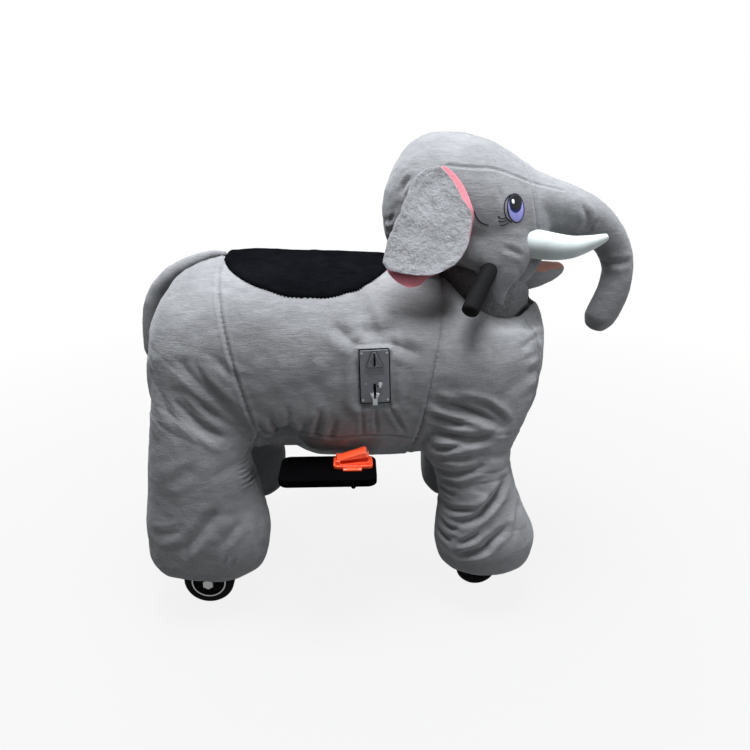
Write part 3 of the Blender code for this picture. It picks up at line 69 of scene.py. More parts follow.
SIDES = (("left", 1), ("right", -1))
NECK_X, NECK_FLOOR_Z, NECK_RADIUS = metres((222, 655, 123))
KINGPIN_Y = 0.1278
REAR_AXLE_X, REAR_AXLE_Z = metres((-430, 59))
HANDLEBAR = metres(((216, 120, 812), (156, 234, 736)))

# Barrel and head: x, lowest z, highest z, half width
BARREL = metres((
    (-541, 600, 600, 0), (-534, 485, 706, 125), (-517, 425, 750, 180), (-482, 385, 780, 212),
    (-430, 364, 799, 230), (-360, 358, 806, 240), (-270, 362, 806, 243), (-190, 342, 803, 244),
    (-80, 335, 800, 242), (0, 338, 797, 240), (80, 345, 785, 238), (160, 345, 770, 234), (230, 350, 752, 224),
    (290, 365, 742, 198), (328, 440, 720, 155), (349, 510, 686, 100), (359, 605, 605, 0),
))
HEAD = metres((
    (-12, 903, 903, 0), (0, 838, 965, 60), (30, 814, 1024, 105), (80, 798, 1060, 140), (140, 784, 1068, 153),
    (190, 758, 1060, 156), (240, 728, 1043, 148), (285, 722, 1016, 130), (322, 750, 992, 110),
    (345, 795, 972, 80), (357, 885, 885, 0),
))
JAW = metres((
    (250, 760, 760, 0), (260, 724, 798, 50), (310, 722, 790, 53), (350, 731, 788, 47), (385, 747, 786, 35),
    (403, 760, 783, 20), (412, 772, 772, 0),
))

# Legs, and the cheek that hangs over the handlebar: z, back x, front x, inner y, outer y
REAR_LEG = metres((
    (98, -416, -416, 172, 172), (99, -497, -335, 120, 225), (108, -537, -300, 100, 248),
    (136, -555, -283, 88, 260), (175, -557, -277, 80, 266), (225, -556, -279, 82, 268),
    (290, -549, -290, 85, 263), (355, -540, -300, 88, 258), (420, -530, -302, 90, 250),
    (500, -520, -300, 100, 240), (560, -514, -310, 110, 228), (610, -500, -325, 120, 215),
    (640, -412, -412, 165, 165),
))
FRONT_LEG = metres((
    (94, 225, 225, 170, 170), (95, 165, 285, 125, 215), (105, 137, 318, 100, 243), (124, 119, 336, 88, 258),
    (156, 110, 342, 80, 266), (190, 109, 341, 80, 268), (235, 112, 322, 82, 262), (280, 114, 302, 85, 255),
    (330, 106, 286, 88, 248), (365, 94, 277, 90, 245), (410, 67, 277, 95, 242), (460, 60, 293, 100, 238),
    (530, 68, 313, 110, 228), (580, 85, 305, 120, 212), (610, 195, 195, 165, 165),
))
CHEEK = metres((
    (716, 236, 236, 138, 138), (718, 226, 244, 130, 142), (726, 217, 248, 122, 145),
    (742, 208, 252, 112, 148), (760, 203, 262, 104, 151), (775, 198, 276, 98, 154), (792, 178, 288, 92, 156),
    (812, 140, 296, 86, 158), (835, 118, 300, 80, 157), (860, 120, 296, 74, 153), (880, 140, 285, 70, 146),
    (888, 205, 205, 105, 105),
))

# Round forms along a line: x, y, z, half height, half width
TRUNK = metres((
    (265, 0, 922, 74, 98), (310, 0, 920, 70, 103), (350, 0, 913, 63, 94), (400, 0, 902, 56, 74),
    (447, 0, 885, 50, 58), (490, 0, 856, 44, 46), (522, 0, 816, 38, 39), (537, 0, 770, 34, 35),
    (534, 0, 722, 36, 36), (520, 0, 678, 38, 34), (506, 0, 650, 36, 31), (498, 0, 634, 26, 22),
))
TUSK = metres((
    (256, 88, 851, 30, 30), (292, 106, 847, 31, 31), (337, 120, 841, 29, 29), (377, 128, 840, 24, 24),
    (412, 133, 848, 17, 17), (437, 136, 857, 11, 11), (448, 137, 862, 7.5, 7.5),
))
TAIL = metres((
    (-366, 0, 809, 6, 9), (-395, 0, 806, 10, 12), (-445, 0, 788, 15, 17), (-495, 0, 758, 18, 21),
    (-532, 0, 712, 20, 23), (-548.7, 0, 650, 20, 23), (-553.7, 0, 590, 18, 21), (-550.7, 0, 556, 11, 13),
))
GRIP = metres((
    (204, 152, 797, 18, 18), (196, 172, 788, 18, 18), (179, 198, 767, 18, 18),
    (154.5, 236.4, 734.2, 17.8, 17.8),
))

# Neck sleeve: distance from the steering axis, z
NECK = metres((
    (20, 660), (98, 658), (106, 668), (108.5, 684), (106, 704), (109, 722), (104, 744), (100, 770), (94, 790),
    (20, 790),
))

# Ear outlines in the side view: x, z. The left ear is drawn in behind EAR_FAR_BACK_X.
EAR = metres((
    (98, 1002), (68, 996), (45, 976), (32, 948), (18, 916), (2, 885), (-11, 852), (-19, 825), (-9, 812),
    (10, 808), (35, 804), (58, 802), (82, 803), (105, 812), (131, 829), (148, 854), (155, 880), (159, 898),
    (160, 911), (152, 926), (141, 942), (131, 961), (118, 982),
))
EAR_LINING = metres((
    (106, 1003), (78, 992), (54, 970), (40, 944), (26, 912), (10, 883), (-3, 850), (-13, 826), (-9, 806),
    (10, 787), (35, 776), (56, 781), (74, 797), (100, 806), (132, 824), (150, 848), (158, 872), (162, 892),
    (163.5, 914), (157.5, 934), (150.5, 952), (137, 975), (120, 994),
))
EAR_FAR_BACK_X = 0.022

# Seams between the covers: the top and the bottom of a slanted cut, x and z
REAR_SEAM = metres(((-362, 800), (-270, 400)))
FRONT_SEAM = metres(((118, 780), (50, 400)))
TRUNK_SEAM = metres(((291, 985), (309, 865)))

# Seams and edges that are only pressed in, and how far the rump is drawn in: height, distance
REAR_LEG_EDGE = metres(((-281, 468), (-290, 445), (-300, 420), (-306, 395), (-306, 370), (-300, 345)))
BELLY_SEAM = metres((
    (-275, 455), (-228, 470), (-174, 466), (-119, 453), (-63, 457), (-27, 455), (14, 451), (54, 440),
))
CHEST_SEAM = metres(((301, 678), (317, 645), (322, 605), (323, 523), (318, 468), (299, 409)))
RUMP = metres(((500, 2), (600, 6), (630, 11), (670, 18), (705, 25), (740, 31), (850, 31)))

# Folds in the plush, drawn in the side view: depth, width, points as x and z
REAR_LEG_FOLDS = metres((
    (5, 8, (-480, 551), (-467, 524), (-439, 499)),
    (9, 10, (-454, 546), (-427, 521), (-396, 489), (-369, 471), (-347, 459)),
    (5, 8, (-399, 543), (-371, 514), (-333, 482)),
    (6, 9, (-437, 633), (-407, 601), (-361, 540), (-331, 509), (-305, 479)),
    (5, 8, (-399, 637), (-381, 588), (-350, 551), (-321, 513)), (4, 7, (-355, 634), (-333, 613), (-315, 592)),
    (2, 10, (-479, 360), (-417, 402)), (2, 9, (-384, 373), (-353, 391), (-304, 400)),
    (4, 9, (-524, 229), (-457, 251)), (7, 10, (-482, 197), (-443, 220), (-392, 280), (-378, 299)),
    (4, 6, (-454, 178), (-444, 214)), (4, 8, (-374, 210), (-333, 263)), (4, 4, (-374, 155), (-363, 184)),
    (4, 4, (-360, 146), (-348, 175)), (4, 8, (-296, 171), (-297, 247)),
))
FRONT_LEG_FOLDS = metres((
    (9, 10, (86, 538), (123, 527), (161, 515), (199, 501), (243, 472)),
    (6, 8, (131, 542), (166, 535), (197, 525), (226, 505), (248, 486)),
    (5, 8, (82, 505), (125, 488), (154, 481)), (9, 10, (96, 463), (134, 456), (172, 450), (214, 457)),
    (5, 7, (89, 421), (121, 430), (156, 437)), (4, 6, (98, 402), (137, 406), (166, 408)),
    (5, 8, (102, 366), (136, 365), (166, 375), (206, 391)), (3, 6, (116, 341), (146, 341)),
    (3, 6, (110, 317), (145, 311)), (9, 9, (252, 346), (236, 319), (212, 292), (187, 267), (150, 250)),
    (5, 7, (109, 271), (142, 273), (181, 285), (194, 295)), (4, 6, (111, 230), (136, 227), (151, 232)),
    (4, 6, (112, 199), (137, 195)), (8, 9, (152, 166), (176, 179), (207, 194), (221, 212), (259, 242)),
    (4, 6, (153, 195), (174, 213), (198, 231)), (4, 8, (281, 221), (287, 257), (301, 300)),
))
COIN_FOLDS = metres((
    (4.8, 10, (-116, 702), (-94, 680), (-68, 659)), (4.2, 10, (-66, 764), (-60, 722), (-54, 668)),
    (3.8, 8, (-46, 730), (-38, 695), (-34, 662)), (4.4, 10, (3, 725), (-1, 692), (-10, 660)),
    (4, 9, (-4, 664), (18, 657), (60, 640)), (3, 3.2, (-62, 534), (-61, 495), (-60, 458)),
    (2.6, 3.2, (-35, 530), (-33, 495), (-29, 458)), (3.8, 4, (-10, 542), (8, 505), (30, 462)),
))
HEAD_SEAMS = metres((
    (2, 3.4, (115, 1003), (164, 999), (201, 997), (245, 985), (291, 969), (330, 959), (372, 950)),
))
HEAD_FOLDS = metres((
    (6, 8, (417, 919), (428, 902), (434, 883), (432, 862)), (4, 5, (441, 862), (448, 875), (456, 885)),
    (4, 8, (483, 790), (518, 788), (552, 792)), (4, 6, (-13, 880), (3, 890), (11, 902)),
    (3, 6, (-15, 858), (-1, 868)), (4, 7, (43, 979), (31, 964), (24, 946)),
    (3, 6, (229, 846), (255, 835), (275, 827)), (3, 7, (129, 800), (168, 783), (211, 772)),
    (2, 6, (215, 963), (223, 936)), (7, 6, (263, 759), (261, 730), (260, 711)),
))

# Embroidery in the side view. Layers: name, thread, height, centre, half sizes. Lines: name, radius, points.
EYE_TILT = 13.0
EYE_LAYERS = (
    ("outline", "black_thread", *metres((1.0, (254.3, 920.5), (19.8, 29.5)))),
    ("iris", "lilac_thread", *metres((1.6, (254.3, 920.0), (17.4, 27.0)))),
    ("iris_edge", "navy_thread", *metres((2.1, (252.7, 929.2), (15.0, 18.0)))),
    ("pupil", "black_thread", *metres((2.6, (252.4, 931.3), (13.8, 15.8)))),
    ("highlight", "white_thread", *metres((3.1, (246.0, 933.5), (3.2, 5.0)))),
)
EYE_LINES = (
    ("lid", *metres((1.3, (242, 947), (232, 939), (228.2, 922.5), (234, 904), (246.5, 893)))),
    ("lash_high", *metres((1.1, (216, 906), (224, 902), (233, 903)))),
    ("lash_middle", *metres((1.1, (217.5, 897.5), (226, 895.5), (236, 898.5)))),
    ("lash_low", *metres((1.1, (222, 888.5), (232, 889.5), (241.7, 895.5)))),
    ("brow_curl", *metres((1.1, (167, 916), (173.5, 903), (184, 893.5), (197.5, 889)))),
)

# Coin plate: its middle as x and z, its front face and its lean in degrees
COIN_CENTRE = metres((-35, 599.6))
COIN_FACE_Y = -0.2455
COIN_LEAN = 1.6

# Accelerator: the corners of its base and its hinge
PEDAL_LOW, PEDAL_HIGH, PEDAL_HINGE = metres(((-123, -267, 400.3), (-40, -223.5, 412.3), (-113, -245, 416.8)))


def deselect():
    """Leave nothing selected."""
    for item in bpy.context.selected_objects:
        item.select_set(False)


def take(item):
    """Make an object the only selected one and the active one."""
    deselect()
    item.select_set(True)
    bpy.context.view_layer.objects.active = item


@contextmanager
def editing(item, choice="SELECT"):
    """An object in edit mode, with all its faces selected, none, or those that already were."""
    take(item)
    bpy.ops.object.mode_set(mode="EDIT")
    if choice:
        bpy.ops.mesh.select_all(action=choice)
    yield
    bpy.ops.object.mode_set(mode="OBJECT")


def named(name):
    """Name the object that an operator has just added, and return it."""
    item = bpy.context.object
    item.name = name
    item.data.name = name
    return item


def points_of(item, key="co"):
    """The places, or the normals, of a mesh's vertices as an array."""
    values = np.zeros(len(item.data.vertices) * 3)
    item.data.vertices.foreach_get(key, values)
    return values.reshape(-1, 3)


def put_points(item, points):
    """Move a mesh's vertices to new places."""
    item.data.vertices.foreach_set("co", np.asarray(points, dtype=np.float64).ravel())
    item.data.update()


def apply_modifier(item, kind, **settings):
    """Add a modifier with its settings and apply it."""
    modifier = item.modifiers.new(kind.lower(), kind)
    for key, value in settings.items():
        setattr(modifier, key, value)
    take(item)
    bpy.ops.object.modifier_apply(modifier=modifier.name)


def combine(item, other, kind="UNION", keep=False):
    """Join another object to an object, or combine them as the kind says."""
    apply_modifier(item, "BOOLEAN", operation=kind, solver="EXACT", object=other)
    if not keep:
        bpy.data.objects.remove(other, do_unlink=True)


def cut(item, other, keep=False):
    """Cut an object by another."""
    combine(item, other, "DIFFERENCE", keep)


MERGE_DISTANCE = 0.00002


def face_outwards(item):
    """Turn a closed mesh's faces outwards."""
    with editing(item):
        bpy.ops.mesh.remove_doubles(threshold=MERGE_DISTANCE)
        bpy.ops.mesh.normals_make_consistent(inside=False)
    return item


def join(name, items):
    """Join several objects into one."""
    deselect()
    for item in items:
        item.select_set(True)
    bpy.context.view_layer.objects.active = items[0]
    bpy.ops.object.join()
    return named(name)


def along_rows(rows, where):
    """Values of station rows at shares of their length, on smooth curves through them."""
    rows = np.asarray(rows, float)
    last = len(rows) - 1
    place = np.clip(where * last, 0, last - 1e-9)
    index = place.astype(int)
    share = (place - index)[:, None]
    before, start = rows[np.maximum(index - 1, 0)], rows[index]
    end, after = rows[index + 1], rows[np.minimum(index + 2, last)]
    curve = 2 * start + (end - before) * share
    curve = curve + (2 * before - 5 * start + 4 * end - after) * share**2
    return 0.5 * (curve + (3 * start - before - 3 * end + after) * share**3)


def ball(name, around, along):
    """A round ball, and for each vertex its share from end to end and its angle around."""
    deselect()
    bpy.ops.mesh.primitive_uv_sphere_add(segments=around, ring_count=along, radius=1.0)
    item = named(name)
    points = points_of(item)
    share = 1 - np.arccos(np.clip(points[:, 2], -1, 1)) / pi
    return item, share, np.arctan2(points[:, 1], points[:, 0])


def shaped(item, *columns):
    """Give a ball its form from columns of x, y and z."""
    put_points(item, np.stack(columns, 1))
    return face_outwards(item)


def squared(values, power):
    """Sines or cosines drawn towards a square section."""
    return np.sign(values) * np.abs(values) ** (2 / power)


def loft_x(name, rows, power, around=96, along=120):
    """A closed form along X over rows of x, lowest z, highest z and half width."""
    item, share, angle = ball(name, around, along)
    x, low, high, half = along_rows(rows, share).T
    z = (low + high) / 2 + (high - low) / 2 * squared(np.sin(angle), power)
    return shaped(item, x, half * squared(np.cos(angle), power), z)


# How square the legs and cheeks are; 2 is round
LIMB_POWER = 2.2


def loft_z(name, rows, side, around=72, along=90):
    """A closed form along Z over rows of z, back x, front x, inner y and outer y."""
    item, share, angle = ball(name, around, along)
    z, back, front, inner, outer = along_rows(rows, share).T
    x = (back + front) / 2 + (front - back) / 2 * squared(np.cos(angle), LIMB_POWER)
    y = side * ((inner + outer) / 2 + (outer - inner) / 2 * squared(np.sin(angle), LIMB_POWER))
    return shaped(item, x, y, z)


def loft_line(name, rows, side=1, sideways=(0, 1, 0), around=48, along=90, cap=0.08):
    """A closed round form along a line of centres, with half heights and half widths."""
    item, share, angle = ball(name, around, along)
    inner = np.clip((share - cap) / (1 - 2 * cap), 0, 1)
    step = 0.002
    values = along_rows(rows, inner)
    ahead = along_rows(rows, np.clip(inner + step, 0, 1)) - along_rows(rows, np.clip(inner - step, 0, 1))
    centre, rise, half = values[:, :3], values[:, 3:4], values[:, 4:5]
    tangent = ahead[:, :3] / np.linalg.norm(ahead[:, :3], axis=1)[:, None]
    sideways = np.asarray(sideways, float)
    across = sideways - tangent * (tangent @ sideways)[:, None]
    across = across / np.linalg.norm(across, axis=1)[:, None]
    ends = np.minimum(share, 1 - share) / cap
    swell = np.where(ends < 1, np.sin(np.clip(ends, 0, 1) * pi / 2), 1.0)[:, None]
    push = np.where(ends < 1, np.cos(np.clip(ends, 0, 1) * pi / 2), 0.0) * np.sign(share - 0.5)
    centre = centre + tangent * push[:, None] * np.minimum(rise, half) * 0.55
    wide = across * np.cos(angle)[:, None] * half * swell
    tall = np.cross(tangent, across) * np.sin(angle)[:, None] * rise * swell
    return shaped(item, *((centre + wide + tall) * (1, side, 1)).T)


def block(low, high):
    """A box between two corners, given in any order."""
    deselect()
    bpy.ops.mesh.primitive_cube_add(size=1.0)
    item = named("block")
    low, high = np.minimum(low, high), np.maximum(low, high)
    put_points(item, (low + high) / 2 + points_of(item) * (high - low))
    return item


def turned_to(item, axis, centre):
    """Turn a form that was made along Z to an axis, and move it to its centre."""
    turn = Vector(axis).to_track_quat("Z", "Y").to_matrix().to_4x4()
    item.data.transform(Matrix.Translation(Vector(centre)) @ turn)
    return item


def rod(start, end, radius, sides=40, top_radius=None, name="rod"):
    """A cylinder or cone between two points."""
    start, end = Vector(start), Vector(end)
    deselect()
    bpy.ops.mesh.primitive_cone_add(
        vertices=sides, radius1=radius, radius2=radius if top_radius is None else top_radius,
        depth=(end - start).length)
    return turned_to(named(name), end - start, (start + end) / 2)


def spun(name, profile, centre, axis, steps=96):
    """A closed ring profile of distance and place along an axis, spun about it."""
    deselect()
    bpy.ops.mesh.primitive_circle_add(vertices=len(profile), radius=1.0)
    item = named(name)
    put_points(item, [(distance, 0, height) for distance, height in profile])
    with editing(item):
        bpy.ops.mesh.spin(steps=steps, angle=2 * pi, center=(0, 0, 0), axis=(0, 0, 1))
    return face_outwards(turned_to(item, axis, centre))


def rounded(item, radius, segments=3):
    """Round an object's edges."""
    sharp = radians(40)
    apply_modifier(item, "BEVEL", width=radius, segments=segments, limit_method="ANGLE", angle_limit=sharp)
    return item


def uneven(item, strength, size, name):
    """Push a surface in and out in soft clouds."""
    texture = bpy.data.textures.new(name, "CLOUDS")
    texture.noise_scale = size
    texture.noise_depth = 2
    apply_modifier(
        item, "DISPLACE", texture=texture, strength=strength, mid_level=0.5, texture_coords="LOCAL")


def remeshed(item, grid, iterations):
    """Give a joined form one even, smooth skin."""
    apply_modifier(item, "REMESH", mode="VOXEL", voxel_size=grid, use_smooth_shade=True)
    apply_modifier(item, "SMOOTH", factor=0.6, iterations=iterations)


def soft_step(values, low, high):
    """A share that runs softly from 0 at low to 1 at high."""
    share = np.clip((values - low) / (high - low), 0, 1)
    return share * share * (3 - 2 * share)


def bell(values, width):
    """A bell curve that is 1 at zero."""
    return np.exp(-((values / width) ** 2))


def soft_fall(values, low, high):
    """A share that runs softly from 1 at low to 0 at high."""
    return 1 - soft_step(values, low, high)


def crumple(item, amount, stretch, weigh, start=0.0, turn=0.0):
    """Fine creases along the zero lines of a stretched noise, where a weight allows them."""
    points, normals = points_of(item), points_of(item, "normal")
    weight = weigh(*points.T)
    moves = np.zeros(len(points))
    for index in np.nonzero(weight > 0.02)[0]:
        x, y, z = points[index]
        spot = Vector((x * stretch[0] + start, y * stretch[1], (z + turn * x) * stretch[2]))
        spot.z += 0.7 * noise.noise(spot * 0.4)
        value = abs(noise.noise(spot))
        moves[index] = 0.25 * min(value * 4, 1.0) - max(0.0, 1 - value * 4.5) ** 1.4
    moves *= amount * weight
    put_points(item, points + normals * moves[:, None])


def gathers(line, pitch, length, depth, width):
    """Short folds across a side-view line, as a drawn-in seam makes them."""
    line = np.asarray(line, float)
    count = int(np.linalg.norm(np.diff(line, axis=0), axis=1).sum() / pitch)
    found = []
    for index in range(count):
        share = (index + 0.5) / count
        here, ahead = along_rows(line, np.array([share, min(share + 0.02, 1.0)]))
        along = (ahead - here) / np.linalg.norm(ahead - here)
        across = np.array((along[1], -along[0])) * length * (0.8 + 0.3 * sin(index * 2.4))
        found.append((depth * (0.8 + 0.3 * sin(index * 1.7)), width, here - across * 0.15, here + across))
    return tuple(found)


def prism(outline, low_y, high_y, name="prism"):
    """A solid with a side-view outline, between two places across the ride."""
    deselect()
    bpy.ops.mesh.primitive_circle_add(vertices=len(outline), radius=1.0, fill_type="NGON")
    item = named(name)
    put_points(item, [(x, low_y, z) for x, z in outline])
    with editing(item):
        bpy.ops.mesh.extrude_region_move(TRANSFORM_OT_translate={"value": (0, high_y - low_y, 0)})
    return face_outwards(item)


def rounded_outline(low, high, corner, steps=8):
    """A rectangle's outline with round corners."""
    found = []
    for index, (sx, sz) in enumerate(((1, 1), (-1, 1), (-1, -1), (1, -1))):
        cx = high[0] - corner if sx > 0 else low[0] + corner
        cz = high[1] - corner if sz > 0 else low[1] + corner
        for step in range(steps + 1):
            angle = pi / 2 * (index + step / steps)
            found.append((cx + corner * cos(angle), cz + corner * sin(angle)))
    return found


def slab(low, high, corner, name="slab"):
    """A flat block between two corners, with its upright edges rounded."""
    low, high = np.minimum(low, high), np.maximum(low, high)
    item = prism(rounded_outline(low, high, corner), 0, 1, name)
    x, share, y = points_of(item).T
    return shaped(item, x, y, low[2] + share * (high[2] - low[2]))


def sunk(item, direction, inset, depth):
    """Inset the faces that look in a direction and push them in."""
    direction = Vector(direction)
    with editing(item, "DESELECT"):
        pass
    for face in item.data.polygons:
        face.select = face.normal.dot(direction) > 0.9
    with editing(item, None):
        bpy.ops.mesh.select_mode(type="FACE")
        bpy.ops.mesh.inset(thickness=inset, depth=0)
        bpy.ops.mesh.extrude_region_move(TRANSFORM_OT_translate={"value": tuple(direction * -depth)})


def surface_of(item):
    """A search tree over an object's surface."""
    return BVHTree.FromObject(item, bpy.context.evaluated_depsgraph_get())


# Looks at the surface start beyond the ride
OUTSIDE_Y, ABOVE_Z = 0.6, 1.2


def from_outside(surface, x, z, side):
    """The first point of a surface that a look from one side meets, and its normal."""
    return surface.ray_cast(Vector((x, side * OUTSIDE_Y, z)), Vector((0, -side, 0)))[:2]


def drawn_on(surface, line, side, spacing=0.004):
    """Points of a smooth side-view line, laid on a surface from outside."""
    line = np.asarray(line, float)
    length = np.linalg.norm(np.diff(line, axis=0), axis=1).sum()
    shares = np.linspace(0, 1, max(int(length / spacing), 2) + 1)
    hits = [from_outside(surface, x, z, side)[0] for x, z in along_rows(line, shares)]
    return np.array([tuple(hit) for hit in hits if hit is not None])


def nearness(points, line):
    """Distance of each point to a line of points, and its share along the line."""
    best, share = np.full(len(points), np.inf), np.zeros(len(points))
    count = len(line) - 1
    for index in range(count):
        start, leg = line[index], line[index + 1] - line[index]
        along = np.clip((points - start) @ leg / max(leg @ leg, 1e-12), 0, 1)
        distance = np.linalg.norm(points - start - along[:, None] * leg, axis=1)
        closer = distance < best
        best[closer] = distance[closer]
        share[closer] = (index + along[closer]) / count
    return best, share


def press_folds(item, surface, folds, side, shift=0.0, scale=1.0, taper=True):
    """Press folds into a cover: a valley along each line, with a soft swell on both sides."""
    points, normals = points_of(item), points_of(item, "normal")
    moves = np.zeros(len(points))
    for depth, width, *line in folds:
        spots = drawn_on(surface, [(x + shift, z) for x, z in line], side)
        if len(spots) < 2:
            continue
        reach = 4 * width
        near = np.all((points > spots.min(0) - reach) & (points < spots.max(0) + reach), axis=1)
        near = np.nonzero(near)[0]
        distance, share = nearness(points[near], spots)
        fade = np.sin(pi * np.clip(share, 0.02, 0.98)) ** 0.6 if taper else 1.0
        valley = np.exp(-((distance / width) ** 1.35))
        moves[near] += scale * depth * fade * (0.42 * bell(distance - 1.9 * width, width) - valley)
    put_points(item, points + normals * moves[:, None])


def seam_plane(seam):
    """The middle and the forward normal of a slanted seam."""
    top, low = (Vector((x, 0, z)) for x, z in seam)
    along = (top - low).normalized()
    return (top + low) / 2, Vector((along.z, 0, -along.x))


def press_seam(item, seam, depth, width, pitch, lowest=0.0):
    """A sewn valley where a slanted plane meets a cover, with a small pucker at each stitch."""
    middle, normal = seam_plane(seam)
    points, normals = points_of(item), points_of(item, "normal")
    distance = (points - np.array(middle)) @ np.array(normal)
    chosen = (np.abs(distance) < 5 * width) & (points[:, 2] > lowest)
    d, p = distance[chosen], points[chosen]
    around = np.arctan2(p[:, 2] - middle.z, p[:, 1]) * 0.24
    pucker = 0.14 * np.cos(2 * pi * around / pitch) * bell(d, 1.6 * width)
    move = depth * (pucker + 0.35 * bell(np.abs(d) - 2.2 * width, width) - bell(d, width))
    points[chosen] += normals[chosen] * move[:, None]
    put_points(item, points)


def halves(item, seam, front_name, back_name, gap=0.0003):
    """The parts of a cover in front of and behind a slanted seam, closed at the cut."""
    middle, normal = seam_plane(seam)
    found = []
    for name, sign in ((front_name, 1), (back_name, -1)):
        made = item.copy()
        made.data = item.data.copy()
        made.name = made.data.name = name
        bpy.context.scene.collection.objects.link(made)
        with editing(made):
            bpy.ops.mesh.bisect(
                plane_co=middle + normal * sign * gap, plane_no=normal, use_fill=True,
                clear_inner=sign > 0, clear_outer=sign < 0)
        found.append(made)
    bpy.data.objects.remove(item, do_unlink=True)
    return found


class Workplace:
    """Makes forms with sizes in millimetres, counted from one place on the ride."""

    def __init__(self, *origin):
        self.origin = origin

    def at(self, spot):
        return tuple(start + size / 1000 for start, size in zip(self.origin, spot))

    def block(self, low, high):
        return block(self.at(low), self.at(high))

    def slab(self, low, high, corner, name="slab"):
        return slab(self.at(low), self.at(high), corner / 1000, name)

    def rod(self, start, end, radius, sides=40, top_radius=None, name="rod"):
        return rod(self.at(start), self.at(end), radius / 1000, sides, (top_radius or radius) / 1000, name)

    def prism(self, outline, low_y, high_y, name="prism"):
        spots = [self.at((x, low_y, z)) for x, z in outline]
        return prism([(x, z) for x, _, z in spots], spots[0][1], self.at((0, high_y))[1], name)


# The middle of the coin plate's face, and the low corner of the accelerator's base
PLATE = Workplace(COIN_CENTRE[0], COIN_FACE_Y, COIN_CENTRE[1])
PEDAL = Workplace(*PEDAL_LOW)


# Materials


class Nodes:
    """A node tree under construction."""

    def __init__(self, tree):
        self.tree = tree

    def fill(self, node, inputs):
        """Set a node's inputs to values, or link them to other nodes' outputs."""
        for key, value in inputs.items():
            if isinstance(value, bpy.types.NodeSocket):
                self.tree.links.new(value, node.inputs[key])
            else:
                node.inputs[key].default_value = value

    def add(self, kind, inputs, output, **settings):
        """Add a node and return one of its outputs."""
        node = self.tree.nodes.new("ShaderNode" + kind)
        for key, value in settings.items():
            setattr(node, key, value)
        self.fill(node, inputs)
        return node.outputs[output]

    def seen_directly(self):
        """1 for rays that show the stage itself: from the camera, in a reflection or through glass."""
        path = self.tree.nodes.new("ShaderNodeLightPath")
        last = path.outputs["Is Camera Ray"]
        for ray in ("Is Glossy Ray", "Is Transmission Ray"):
            last = self.add("Math", {0: last, 1: path.outputs[ray]}, "Value", operation="MAXIMUM")
        return last

    def show(self, output, factor, first, second):
        """Send a mix of two shaders to the output node."""
        mix = self.add("MixShader", {"Fac": factor, 1: first, 2: second}, "Shader")
        self.fill(self.tree.nodes[output], {"Surface": mix})


class Finish(Nodes):
    """A material under construction."""

    def __init__(self, name, colour, roughness, inputs):
        material = bpy.data.materials.new(name)
        material.use_nodes = True
        super().__init__(material.node_tree)
        self.colour, self.roughness = colour, roughness
        self.shader = self.tree.nodes["Principled BSDF"]
        self.fill(self.shader, {"Base Color": (*colour, 1), "Roughness": roughness, **inputs})
        self.place = self.add("TexCoord", {}, "Object")

    def noise(self, scale, detail, stretch=None, roughness=0.5):
        """Noise on object coordinates, which may be stretched along the axes."""
        where = self.place
        if stretch:
            where = self.add("Mapping", {"Vector": where, "Scale": stretch}, "Vector")
        inputs = {"Vector": where, "Scale": scale, "Detail": detail, "Roughness": roughness}
        return self.add("TexNoise", inputs, "Fac")

    def ramp(self, factor, *stops):
        """A colour band over a factor, between two stops."""
        node = self.tree.nodes.new("ShaderNodeValToRGB")
        self.fill(node, {"Fac": factor})
        for element, (where, colour) in zip(node.color_ramp.elements, stops):
            element.position = where
            element.color = (*colour, 1)
        return node.outputs["Color"]

    def stained(self, factor, low, dark, high, light):
        """The material's colour, made darker where a factor is low and lighter where it is high."""
        return self.ramp(factor, (low, scaled(self.colour, dark)), (high, scaled(self.colour, light)))

    def darkened(self, tone, factor, low, high, shade, share=1.0):
        """A colour that is darker where a factor is low."""
        band = self.ramp(factor, (low, (shade,) * 3), (high, (1.0,) * 3))
        inputs = {"Factor": share, "A": tone, "B": band}
        return self.add("Mix", inputs, "Result", data_type="RGBA", blend_type="MULTIPLY")

    def bump(self, height, strength, distance, under=None):
        """Relief in the surface's normal, which may lie over other relief."""
        inputs = {"Height": height, "Strength": strength, "Distance": distance}
        if under is not None:
            inputs["Normal"] = under
        return self.add("Bump", inputs, "Normal")

    def roughened(self, factor, rise):
        """Let the roughness vary with a factor."""
        inputs = {
            "Value": factor,
            "To Min": max(self.roughness - 0.08, 0.05),
            "To Max": min(self.roughness + rise, 1.0),
        }
        self.fill(self.shader, {"Roughness": self.add("MapRange", inputs, "Result")})

    def done(self, tone, relief):
        """Use a colour and a relief."""
        self.fill(self.shader, {"Base Color": tone, "Normal": relief})


def scaled(colour, factor):
    """A colour made lighter or darker."""
    return tuple(min(channel * factor, 1.0) for channel in colour)


